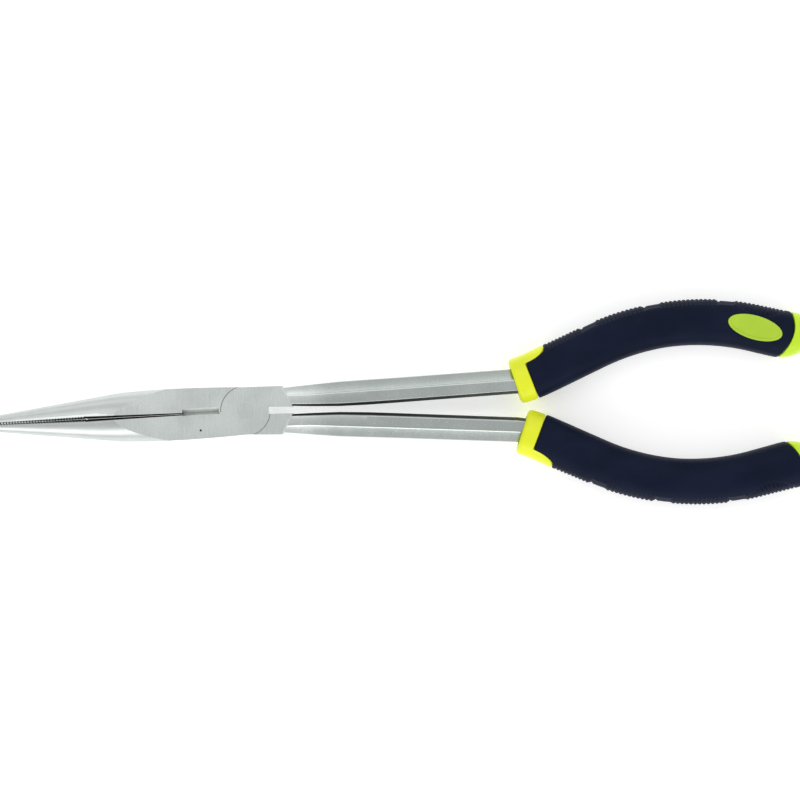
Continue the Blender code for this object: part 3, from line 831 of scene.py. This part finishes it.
    def bevel_wedge(self, width: float, side: int) -> bmesh.types.BMesh:
        """Return the wedge that grinds one bevel of the side cutter.

        Args:
            width: The bevel's width on the joint's face.
            side: 1 for the lever's own face, -1 for the other.

        Returns:
            The wedge.
        """
        slope = (width - self.cutter_half_gap) / (self.half_thickness - self.cutter_half_land)
        past = 1.0 * MM
        low = self.cutter_half_land - past / 4
        high = self.half_thickness + past
        section = [
            (-self.cutter_half_gap - slope * (low - self.cutter_half_land), low),
            (-self.cutter_half_gap - slope * (high - self.cutter_half_land), high),
            (2 * past, high),
            (2 * past, low),
        ]
        ends = (-self.cutter_start - width / 5, -self.cutter_end - width / 10)
        turn = self.jaw_turn

        def place(share: float, row: int) -> Vector:
            """Place a corner of the wedge."""
            across, through = section[round(share * len(section)) % len(section)]
            return turn @ Vector((ends[row], across, side * through))

        return Shape.wrapped(len(section), 1, place)

    def arm_section(self, distance: float) -> list[tuple[float, float]]:
        """Return the arm's section, with its eight corners rounded, as outward and upward offsets.

        A station holds the width, the thickness, and how far the bevels cut in across and through, first
        on the outer side and then on the inner side.
        """
        width, thickness, out_across, out_through, in_across, in_through = between(
            self.arm_stations, distance
        )
        across, through = width / 2, thickness / 2
        quarter = [
            Vector((across, through - out_through)),
            Vector((across - out_across, through)),
            Vector((-across + in_across, through)),
            Vector((-across, through - in_through)),
        ]
        corners = quarter + [Vector((a, -t)) for a, t in reversed(quarter)]
        points = []
        for before, corner, after in zip(corners[-1:] + corners, corners, corners[1:] + corners[:1]):
            least = min((corner - before).length, (corner - after).length)
            ease = min(self.arm_rounding, 0.3 * least)
            start = corner + (before - corner).normalized() * ease
            end = corner + (after - corner).normalized() * ease
            for share in (0.0, 0.25, 0.5, 0.75, 1.0):
                points.append(tuple(start.lerp(corner, share).lerp(corner.lerp(end, share), share)))
        return points

    def shank(self) -> bmesh.types.BMesh:
        """Return the shank and tang along their mid line."""
        marks = spaced(0.0, 12.0 * MM, 1.0 * MM) + spaced(14.0 * MM, 80.0 * MM, 3.0 * MM)
        marks += spaced(81.0 * MM, self.arm_end, 2.0 * MM)
        sections = [self.arm_section(mark) for mark in marks]
        along = self.arm.sampler()
        count = len(sections[0])

        def place(share: float, row: int) -> Vector:
            """Place a point of the arm."""
            across, through = sections[row][round(share * count) % count]
            return along(marks[row], across, through)

        return Shape.wrapped(count, len(marks) - 1, place)

    def punch(self) -> bmesh.types.BMesh:
        """Return the ball that leaves the inspection punch mark on the front jaw."""
        x, y, radius = self.punch_mark
        mesh = bmesh.new()
        bmesh.ops.create_icosphere(mesh, subdivisions=3, radius=radius)
        bmesh.ops.translate(mesh, verts=mesh.verts, vec=(x, y, self.half_thickness))
        return mesh

    def crown_bite(self, mesh: bmesh.types.BMesh) -> None:
        """Draw the bite out to a ridge at mid thickness, where the teeth of both jaws mesh.

        Args:
            mesh: The forging, in the pivot frame.
        """
        everything = [*mesh.verts, *mesh.edges, *mesh.faces]
        bmesh.ops.bisect_plane(
            mesh, geom=everything, dist=1e-7, plane_co=(0.0, 0.0, 0.0), plane_no=(0.0, 0.0, 1.0)
        )
        turn = self.jaw_turn
        back = turn.inverted()
        plain = self.jaw_reach - 2 * self.tooth_pitch
        for vert in mesh.verts:
            along, across, through = back @ vert.co
            ahead = -along
            gap = self.half_gap(ahead)
            off_bite = across < -gap - self.relief_depth - self.tooth_depth
            on_cutter = ahead < self.cutter_end + HAIR and across > -self.cutter_half_gap - HAIR
            if abs(through) > HAIR or ahead < self.cutter_end - HAIR or off_bite or on_cutter:
                continue
            if self.bite_start + HAIR < ahead < plain:
                across += gap + self.tooth_depth / 2 - self.ridge_half_gap
            else:
                across = -self.ridge_half_gap
            vert.co = turn @ Vector((along, across, 0.0))

    def face_kind(self, centre: Vector, normal: Vector) -> SteelFace:
        """Return which finish a face has.

        Args:
            centre: The face's centre, in the pivot frame.
            normal: Its normal.

        Returns:
            The finish.
        """
        back = self.jaw_turn.inverted()
        jaw, facing = back @ centre, back @ normal
        ahead = -jaw.x
        x, y, radius = self.punch_mark
        punched = (centre - Vector((x, y, self.half_thickness))).length < radius * 1.02
        # The punch mark's dimple gets the same near-black finish as the bite.
        if punched and abs(normal.z) < 0.995 and not self.lever.turned_over:
            return SteelFace.BITE
        # The jaws' upright inner faces ahead of the cutter get the near-black finish: painted shade for the
        # dark gap between the closed jaws.
        upright = abs(facing.z) < 0.6 and (facing.y > 0.25 or abs(facing.x) > 0.5)
        if upright and ahead > self.cutter_end + 10 * HAIR:
            on_shaded_bite = jaw.y > -self.bite_reach and ahead < self.jaw_reach - self.plain_tip
            return SteelFace.BITE if on_shaded_bite else SteelFace.GROUND
        if ahead > self.shoulder and abs(facing.z) < 0.985:
            return SteelFace.NOSE
        # The cutter's bevels get a near-white, half-metallic finish: a painted highlight.
        if self.cutter_start < ahead < self.cutter_end + 1.0 * MM and jaw.y > -self.bevel_reach:
            on_highlit_bevel = abs(facing.z) < 0.9 and abs(jaw.z) < self.half_thickness - 10 * HAIR
            return SteelFace.CUTTER_BEVEL if on_highlit_bevel else SteelFace.GROUND
        # Faces behind the joint that face the other lever get a dark finish: painted shade for their dark
        # reflection.
        if centre.x > self.slot_start and normal.y < -0.45:
            return SteelFace.SKIN
        return SteelFace.GROUND

    def build(self) -> bpy.types.Object:
        """Model the half and return it."""
        over = self.half_thickness + 1.0 * MM
        steps = [
            ("INTERSECT", self.nose_form()),
            ("DIFFERENCE", Shape.drum(self.recess_radius, -over, self.lap_half_gap)),
            ("DIFFERENCE", self.bevel_wedge(self.near_bevel, 1)),
            ("DIFFERENCE", self.bevel_wedge(self.far_bevel, -1)),
            ("UNION", self.shank()),
            ("DIFFERENCE", Shape.drum(self.bore_radius, -over, over, 96)),
        ]
        if not self.lever.turned_over:
            steps.append(("DIFFERENCE", self.punch()))
        node = f"{self.lever.prefix}_half"
        mesh = Shape.carved(node, self.blank(), steps)
        bmesh.ops.remove_doubles(mesh, verts=mesh.verts, dist=1e-7)
        self.crown_bite(mesh)
        Shape.crease(mesh, self.sharp_angle)
        for face in mesh.faces:
            face.material_index = self.face_kind(face.calc_center_median(), face.normal).value
        return self.lever.add(f"{node}_forging", mesh, node, "steel", *self.finishes)


@dataclass(frozen=True)
class Rivet:
    """The rivet through the lap joint, ground flush."""

    lever: Lever
    finish: bpy.types.Material
    radius: float = 2.6 * MM
    half_length: float = 5.25 * MM
    edge: float = 0.015 * MM

    def build(self) -> bpy.types.Object:
        """Model the rivet and return it."""
        mesh = Shape.drum(self.radius, -self.half_length, self.half_length, 96)
        rims = [edge for edge in mesh.edges if abs(edge.verts[0].co.z - edge.verts[1].co.z) < self.edge]
        Shape.eased(mesh, rims, self.edge, 2)
        Shape.crease(mesh, math.radians(35))
        return self.lever.add("flush_rivet", mesh, "pivot_rivet", "rivet", self.finish)


# Grips


@dataclass(frozen=True)
class TreadPad:
    """A ribbed pad on the outer side of a sleeve.

    It runs from start to end along the mid line and reaches so far round on either side. A lens is
    widest in its middle.
    """

    start: float
    end: float
    reach: float
    lens: bool = False


@dataclass(frozen=True)
class GripForm:
    """The form that all four pieces of a grip share."""

    route: Route = Route(((91.0, 7.95), (96.74, 9.7), (144.4, 31.4), (190.9, 20.0)), (92.0, 82.5))
    stations: tuple[tuple[float, ...], ...] = (
        (0.0, 7.75, 7.8, 6.85),
        (6.0, 7.85, 8.0, 7.1),
        (12.0, 8.0, 7.95, 7.3),
        (54.0, 7.7, 7.7, 7.3),
        (92.0, 8.1, 8.1, 7.5),
    )
    length: float = 104.0 * MM
    power: float = 2.7
    lip: float = 1.5 * MM
    outer_end: float = 5.5 * MM
    inner_end: float = 11.5 * MM
    face_end: float = 4.5 * MM

    def reach(self, distance: float) -> tuple[float, float, float]:
        """Return how far the form stands out at a distance: outer side, inner side and through."""
        outer, inner, through = between(self.stations, distance)
        shy = max(0.0, self.lip - distance)
        drop = self.lip - math.sqrt(max(0.0, self.lip**2 - shy**2))
        least = 0.1 * MM

        def rounded(value: float, length: float, power: float) -> float:
            """Round one reach off towards the end."""
            share = max(0.0, (distance - self.length + length) / length)
            return max(least, value * max(0.0, 1 - share**power) ** (1 / power) - drop)

        return (
            rounded(outer, self.outer_end, 2.2),
            rounded(inner, self.inner_end, 2.0),
            rounded(through, self.face_end, 2.2),
        )

    def section(self, distance: float, angle: float, sink: float) -> tuple[float, float]:
        """Return a point of the section as outward and upward offsets from the mid line.

        Args:
            distance: How far along the grip.
            angle: The angle round it, 0 on the outer side.
            sink: How far the point lies under the form's skin.

        Returns:
            The two offsets.
        """
        outer, inner, through = self.reach(distance)
        least = 0.05 * MM
        half = max(least, (outer + inner) / 2 - sink)
        across, up = rounded_section(half, max(least, through - sink), self.power, angle)
        return (outer - inner) / 2 + across, up


@dataclass(frozen=True)
class Grip:
    """One grip: collar, sleeve and end cap over a liner."""

    lever: Lever
    form: GripForm
    collar_finish: bpy.types.Material
    sleeve_finish: bpy.types.Material
    cap_finish: bpy.types.Material
    columns: int = 144
    tread_step: float = 0.22 * MM
    seam: float = 0.3 * MM
    edge: float = 0.45 * MM
    collar_length: float = 5.7 * MM
    tongue_length: float = 8.2 * MM
    tongue_reach: float = math.radians(59)
    cap_arc_apex: float = 98.0 * MM
    cap_arc_radius: float = 14.0 * MM
    wall: float = 1.9 * MM
    mouth: tuple[float, float] = (5.05 * MM, 5.15 * MM)
    mouth_depth: float = 1.5 * MM
    shank_fit: tuple[float, float] = (4.5 * MM, 4.6 * MM)
    tread_pitch: float = 1.35 * MM
    tread_depth: float = 0.36 * MM
    gap_depth: float = 0.42 * MM
    notch_depth: float = 0.78 * MM
    notch_half: float = 0.65 * MM
    pads: tuple[TreadPad, ...] = (
        TreadPad(15.6 * MM, 27.6 * MM, math.radians(50)),
        TreadPad(33.2 * MM, 48.4 * MM, math.radians(50)),
        TreadPad(54.0 * MM, 71.6 * MM, math.radians(50)),
        TreadPad(77.2 * MM, 93.4 * MM, math.radians(72), True),
    )
    lens_narrowing: float = math.radians(34)
    rib_fade: float = math.radians(9)
    gap_reach: float = math.radians(46)
    gap_fade: float = math.radians(12)
    gap_step: float = 0.35 * MM
    offsets: tuple[float, ...] = tuple(step * MM for step in (0.0, 0.03, 0.08, 0.16, 0.28))
    soft_angle: float = math.radians(50)

    @staticmethod
    def angle_of(share: float) -> float:
        """Return the angle at a share of the turn, closer together where the tongue's sides run."""
        turn = 2 * math.pi * share
        return turn + 0.28 * math.sin(3 * turn)

    @staticmethod
    def away(angle: float) -> float:
        """Return the angle from the outer side, from 0 to half a turn."""
        return abs((angle + math.pi) % (2 * math.pi) - math.pi)

    def collar_edge(self, angle: float) -> float:
        """Return where the collar ends at an angle: its ring, or the tongue on the outer side."""
        share = self.away(angle) / self.tongue_reach
        lobe = max(0.0, 1 - share**5) ** 0.45 if share < 1 else 0.0
        return self.collar_length + self.tongue_length * lobe

    def cap_edge(self, angle: float) -> float:
        """Return where the end cap starts at an angle: an arc in plan."""
        across = self.form.section(self.cap_arc_apex - 3.0 * MM, angle, 0.0)[0] - 0.8 * MM
        return self.cap_arc_apex - self.cap_arc_radius + math.sqrt(self.cap_arc_radius**2 - across**2)

    def eased(self, from_edge: float) -> float:
        """Return how far the skin dips at a distance from a seam, as a quarter round."""
        short = max(0.0, self.edge - from_edge)
        return self.edge - math.sqrt(max(0.0, self.edge**2 - short**2))

    def tread(self, distance: float, angle: float) -> float:
        """Return how deep the tread is cut at a point of the sleeve.

        Args:
            distance: How far along the grip.
            angle: The angle round it.

        Returns:
            The depth under the skin.
        """
        away = self.away(angle)
        depth = 0.0
        for pad in self.pads:
            if pad.start - self.tread_pitch / 2 < distance < pad.end + self.tread_pitch / 2:
                middle = 2 * (distance - pad.start) / (pad.end - pad.start) - 1
                reach = pad.reach - (self.lens_narrowing * middle**2 if pad.lens else 0.0)
                count = round((pad.end - pad.start) / self.tread_pitch)
                phase = (distance - pad.start) / (pad.end - pad.start) * count
                valley = (0.5 + 0.5 * math.cos(2 * math.pi * phase)) ** 1.6
                fade = min(max((reach - away) / self.rib_fade, 0.0), 1.0)
                depth = max(depth, self.tread_depth * valley * fade * fade * (3 - 2 * fade))
        fade = min(max((self.gap_reach - away) / self.gap_fade, 0.0), 1.0)
        for before, after in zip(self.pads, self.pads[1:]):
            if before.end < distance < after.start:
                step = min(distance - before.end, after.start - distance) / self.gap_step
                shy = (distance - before.end) / self.notch_half - 1
                notch = (self.notch_depth - self.gap_depth) * max(0.0, 1 - shy * shy)
                depth = max(depth, (self.gap_depth + notch) * min(1.0, step) * fade)
        return depth

    def sleeve(self) -> bpy.types.Object:
        """Model the soft sleeve with its tread and return it."""
        form, along = self.form, self.form.route.sampler()
        ends = self.offsets
        middle = round((self.cap_arc_apex - self.collar_length) / self.tread_step)
        inner = 16
        skin = 2 * len(ends) + middle
        rows = skin + inner + 1

        def place(share: float, row: int) -> Vector:
            """Place a point of the sleeve: its skin from front to rear, then its inner wall back."""
            angle = self.angle_of(share)
            first = self.collar_edge(angle) + self.seam / 2
            last = self.cap_edge(angle) - self.seam / 2
            if row < len(ends):
                spot = first + ends[row]
            elif row < len(ends) + middle:
                done = (row - len(ends) + 1) / (middle + 1)
                spot = first + ends[-1] + (last - first - 2 * ends[-1]) * done
            elif row < skin:
                spot = last - ends[skin - 1 - row]
            else:
                done = (row - skin) / inner
                spot = last + (first - last) * done
                return along(spot, *form.section(spot, angle, self.wall))
            sink = self.eased(min(spot - first, last - spot)) + self.tread(spot, angle)
            return along(spot, *form.section(spot, angle, sink))

        mesh = Shape.wrapped(self.columns, rows, place, looped=True)
        return self.add_soft("sleeve_rubber", mesh, "grip_sleeve", "navy", self.sleeve_finish)

    def end_cap(self) -> bpy.types.Object:
        """Model the end cap and return it."""
        form, along = self.form, self.form.route.sampler()
        ends = self.offsets
        round_rows = 40

        def place(share: float, row: int) -> Vector:
            """Place a point of the cap, from its hidden rim to its pole."""
            angle = self.angle_of(share)
            first = self.cap_edge(angle) + self.seam / 2
            if row == 0:
                return along(first, *form.section(first, angle, self.wall))
            if row <= len(ends):
                spot = first + ends[row - 1]
            else:
                done = (row - len(ends)) / round_rows
                spot = first + ends[-1] + (form.length - first - ends[-1]) * math.sin(math.pi / 2 * done)
            return along(spot, *form.section(spot, angle, self.eased(spot - first)))

        mesh = Shape.wrapped(self.columns, len(ends) + round_rows, place)
        return self.add_soft("end_cap_moulding", mesh, "end_cap", "yellow", self.cap_finish)

    def collar(self) -> bpy.types.Object:
        """Model the collar with its mouth, lip and tongue and return it."""
        form, along = self.form, self.form.route.sampler()
        ends = self.offsets[::-1]
        mouth_rows = [
            (self.mouth_depth + 0.7 * MM, self.shank_fit, 0.0),
            (self.mouth_depth, self.shank_fit, 0.0),
            (self.mouth_depth, self.mouth, -0.25 * MM),
            (self.mouth_depth - 0.25 * MM, self.mouth, 0.0),
            (0.35 * MM, self.mouth, 0.0),
            (0.12 * MM, self.mouth, 0.12 * MM),
            (0.0, self.mouth, 0.4 * MM),
        ]
        lip_rows = [form.lip * (1 - math.cos(math.pi / 2 * step / 10)) for step in range(11)]
        skin_rows = 60
        inner_rows = 10
        front = len(mouth_rows)
        skin = front + len(lip_rows)
        seam = skin + skin_rows
        inner = seam + len(ends)
        rows = inner + inner_rows + 1

        def place(share: float, row: int) -> Vector:
            """Place a point of the collar: mouth, lip, skin, seam edge and inner wall."""
            angle = self.angle_of(share)
            last = self.collar_edge(angle) - self.seam / 2
            if row < front:
                spot, half, grow = mouth_rows[row]
                return along(spot, *rounded_section(half[0] + grow, half[1] + grow, 4.5, angle))
            if row < skin:
                spot = lip_rows[row - front]
                return along(spot, *form.section(spot, angle, 0.0))
            if row < seam:
                done = (row - skin + 1) / (skin_rows + 1)
                spot = form.lip + (last - ends[0] - form.lip) * done
                return along(spot, *form.section(spot, angle, self.eased(last - spot)))
            if row < inner:
                spot = last - ends[row - seam]
                return along(spot, *form.section(spot, angle, self.eased(last - spot)))
            done = (row - inner) / inner_rows
            spot = last + (self.mouth_depth + 0.7 * MM - last) * done
            return along(spot, *form.section(spot, angle, self.wall))

        mesh = Shape.wrapped(self.columns, rows, place, looped=True)
        return self.add_soft("collar_moulding", mesh, "collar", "yellow", self.collar_finish)

    def add_soft(
        self, name: str, mesh: bmesh.types.BMesh, node: str, slot: str, finish: bpy.types.Material
    ) -> bpy.types.Object:
        """Shade a piece of the grip smooth and put it on its lever.

        Args:
            name: The last part of the piece's name.
            mesh: Its mesh in the pivot frame.
            node: The last part of its node's name.
            slot: The record's material slot.
            finish: Its material.

        Returns:
            The piece.
        """
        mesh.normal_update()
        for face in mesh.faces:
            face.smooth = True
        for edge in mesh.edges:
            edge.smooth = edge.calc_face_angle(0.0) < self.soft_angle
        prefix = "lower" if self.lever.turned_over else "upper"
        return self.lever.add(f"{prefix}_{name}", mesh, f"{prefix}_{node}", slot, finish)

    def build(self) -> list[bpy.types.Object]:
        """Model the whole grip and return its pieces."""
        return [self.collar(), self.sleeve(), self.end_cap()]


@dataclass(frozen=True)
class Badge:
    """The oval badge set into the upper sleeve: a dished plate in a raised rim."""

    lever: Lever
    finish: bpy.types.Material
    form: GripForm
    place_along: float = 84.9 * MM
    half_length: float = 9.4 * MM
    half_width: float = 4.0 * MM
    floor: float = 6.2 * MM
    top: float = 7.8 * MM
    rim: float = 0.75 * MM
    rounding: float = 0.3 * MM
    dish: float = 0.2 * MM
    tilt: float = math.radians(-3.5)
    segments: int = 120

    def build(self) -> bpy.types.Object:
        """Model the badge and return it."""
        mesh = bmesh.new()
        base = bmesh.ops.create_circle(mesh, cap_ends=True, segments=self.segments, radius=1.0)["verts"]
        bmesh.ops.scale(mesh, verts=base, vec=(self.half_length, self.half_width, 1.0))
        plate = mesh.faces[:]
        raised = bmesh.ops.extrude_face_region(mesh, geom=plate)["geom"]
        top = [item for item in raised if isinstance(item, bmesh.types.BMVert)]
        bmesh.ops.translate(mesh, verts=top, vec=(0.0, 0.0, self.top - self.floor))
        rim = [edge for edge in mesh.edges if all(vert in top for vert in edge.verts)]
        Shape.eased(mesh, rim, self.rounding, 4)
        crown = max(mesh.faces, key=lambda face: (face.calc_center_median().z, face.calc_area()))
        bmesh.ops.inset_individual(mesh, faces=[crown], thickness=self.rim - self.rounding)
        bmesh.ops.inset_individual(mesh, faces=[crown], thickness=self.dish)
        bmesh.ops.translate(mesh, verts=crown.verts, vec=(0.0, 0.0, -self.dish))
        along = self.form.route.sampler()
        middle = along(self.place_along, 0.0)
        ahead = along(self.place_along + MM, 0.0) - along(self.place_along - MM, 0.0)
        turn = Matrix.Rotation(math.atan2(ahead.y, ahead.x) + self.tilt, 4, "Z")
        put = Matrix.Translation(middle + Vector((0.0, 0.0, self.floor))) @ turn
        bmesh.ops.transform(mesh, matrix=put, verts=mesh.verts)
        Shape.crease(Shape.outward(mesh), math.radians(38))
        return self.lever.add("grip_badge", mesh, "upper_badge", "badge", self.finish)


# Studio


@dataclass(frozen=True)
class Softbox:
    """An area light that faces a point over the tool."""

    name: str
    place: tuple[float, float, float]
    size: tuple[float, float]
    power: float

    def build(self) -> bpy.types.Object:
        """Add the light and return it."""
        light = bpy.data.lights.new(self.name, "AREA")
        light.shape = "RECTANGLE"
        light.size, light.size_y = self.size
        light.energy = self.power
        lamp = bpy.data.objects.new(self.name, light)
        lamp.location = self.place
        lamp.rotation_euler = (-Vector(self.place)).to_track_quat("-Z", "Y").to_euler()
        bpy.context.scene.collection.objects.link(lamp)
        return lamp


@dataclass(frozen=True)
class Studio:
    """A white table, soft light and a camera that looks straight down."""

    view_centre: tuple[float, float] = (-0.26 * MM, 2.63 * MM)
    view_width: float = 269.6 * MM
    view_plane: float = 12.5 * MM
    camera_height: float = 1.6
    sensor: float = 36.0
    roll: float = math.radians(-1.15)
    table_size: float = 4.0
    table_drop: float = 0.1 * MM
    boxes: tuple[Softbox, ...] = (
        Softbox("overhead_box", (-0.1, 0.35, 0.9), (0.9, 0.5), 1.0),
        Softbox("near_strip", (0.0, -0.7, 0.45), (1.2, 0.3), 2.4),
        Softbox("far_strip", (0.0, 0.8, 0.4), (1.2, 0.3), 0.8),
    )
    sky: float = 0.64
    table_glow: float = 0.45

    def table(self) -> None:
        """Add the white table."""
        mesh = bmesh.new()
        bmesh.ops.create_grid(mesh, x_segments=1, y_segments=1, size=self.table_size / 2)
        bmesh.ops.translate(mesh, verts=mesh.verts, vec=(0.0, 0.0, -self.table_drop))
        table = Shape.object_of("table", mesh)
        graph = Graph("table_white")
        table.data.materials.append(
            graph.finish(
                Base_Color=(0.93, 0.93, 0.93, 1.0),
                Roughness=0.9,
                Emission_Color=(1.0, 1.0, 1.0, 1.0),
                Emission_Strength=self.table_glow,
            )
        )

    def camera(self) -> None:
        """Add the camera."""
        lens = bpy.data.cameras.new("view")
        lens.sensor_width = self.sensor
        lens.lens = self.sensor * self.camera_height / self.view_width
        lens.clip_end = 20.0
        eye = bpy.data.objects.new("view", lens)
        eye.location = (*self.view_centre, self.view_plane + self.camera_height)
        eye.rotation_euler = (0.0, 0.0, self.roll)
        bpy.context.scene.collection.objects.link(eye)
        bpy.context.scene.camera = eye

    def light(self) -> None:
        """Add the surrounding light and the boxes."""
        world = bpy.data.worlds.new("studio")
        world.use_nodes = True
        background = world.node_tree.nodes["Background"]
        background.inputs["Color"].default_value = (1.0, 1.0, 1.0, 1.0)
        background.inputs["Strength"].default_value = self.sky
        bpy.context.scene.world = world
        for box in self.boxes:
            box.build()

    def build(self) -> None:
        """Set up the whole studio."""
        bpy.context.scene.view_settings.view_transform = "Standard"
        self.table()
        self.camera()
        self.light()


# Assembly


@dataclass
class Pliers:
    """The whole tool."""

    front: Lever = Lever("front_lever", "front", False)
    back: Lever = Lever("back_lever", "back", True)
    form: GripForm = field(default_factory=GripForm)
    lower_lead: float = 2.4 * MM

    def dress_liners(self, finish: bpy.types.Material) -> None:
        """Give the hidden liners, which stay as packed, their material."""
        for name in ("upper_grip_liner", "lower_grip_liner"):
            liner = frame["nodes"][name]
            liner.data.materials.clear()
            liner.data.materials.append(finish)

    def build(self) -> None:
        """Model and dress every piece."""
        # The cutter bevel steel is near white and half metallic: a painted highlight.
        bevel = GroundSteel("cutter_bevel_highlight_steel", (0.92, 0.95, 0.93), (0.86, 0.89, 0.87), 0.6, metal=0.35)
        nose = GroundSteel("nose_steel", (0.63, 0.665, 0.65), (0.575, 0.61, 0.595), 0.36, GrainRun.ALONG)
        steels = {
            SteelFace.GROUND: GroundSteel("ground_steel", shank_share=0.95),
            SteelFace.CUTTER_BEVEL: bevel,
            # Near-black bite steel: painted shade for the gap between the closed jaws, also used on the
            # punch mark's dimple.
            SteelFace.BITE: GroundSteel("bite_shade_steel", (0.10, 0.105, 0.10), (0.065, 0.07, 0.068), 0.6),
            # Dark steel on the inner faces behind the joint: painted shade for their dark reflection.
            SteelFace.SKIN: GroundSteel(
                "inner_shade_steel", (0.17, 0.18, 0.175), (0.12, 0.13, 0.125), 0.45
            ),
            SteelFace.NOSE: nose,
        }
        steel = tuple(steels[kind].build() for kind in SteelFace)
        rivet = GroundSteel("rivet_steel", (0.70, 0.75, 0.73), (0.63, 0.68, 0.66), 0.26).build()
        collar = MouldedPlastic("collar_plastic", (0.90, 0.97, 0.018), (0.84, 0.92, 0.015)).build()
        cap = MouldedPlastic("cap_plastic", (0.66, 0.96, 0.022), (0.61, 0.90, 0.02)).build()
        liner = MouldedPlastic("liner_plastic", (0.6, 0.72, 0.05), (0.55, 0.66, 0.04), 0.5).build()
        badge = MouldedPlastic("badge_plastic", (0.52, 0.76, 0.04), (0.47, 0.70, 0.035)).build()
        rubber = GripRubber("grip_rubber").build()
        for lever in (self.front, self.back):
            Forging(lever, steel).build()
            lead = self.lower_lead if lever.turned_over else 0.0
            form = replace(self.form, route=replace(self.form.route, lead=lead))
            Grip(lever, form, collar, rubber, cap).build()
        Rivet(self.front, rivet).build()
        Badge(self.front, badge, self.form).build()
        self.dress_liners(liner)


def main() -> None:
    """Build the tool, then the studio."""
    logging.basicConfig(level=logging.INFO, format="%(name)s: %(message)s")
    Pliers().build()
    Studio().build()
    bpy.context.view_layer.update()


if __name__ == "__main__":
    main()
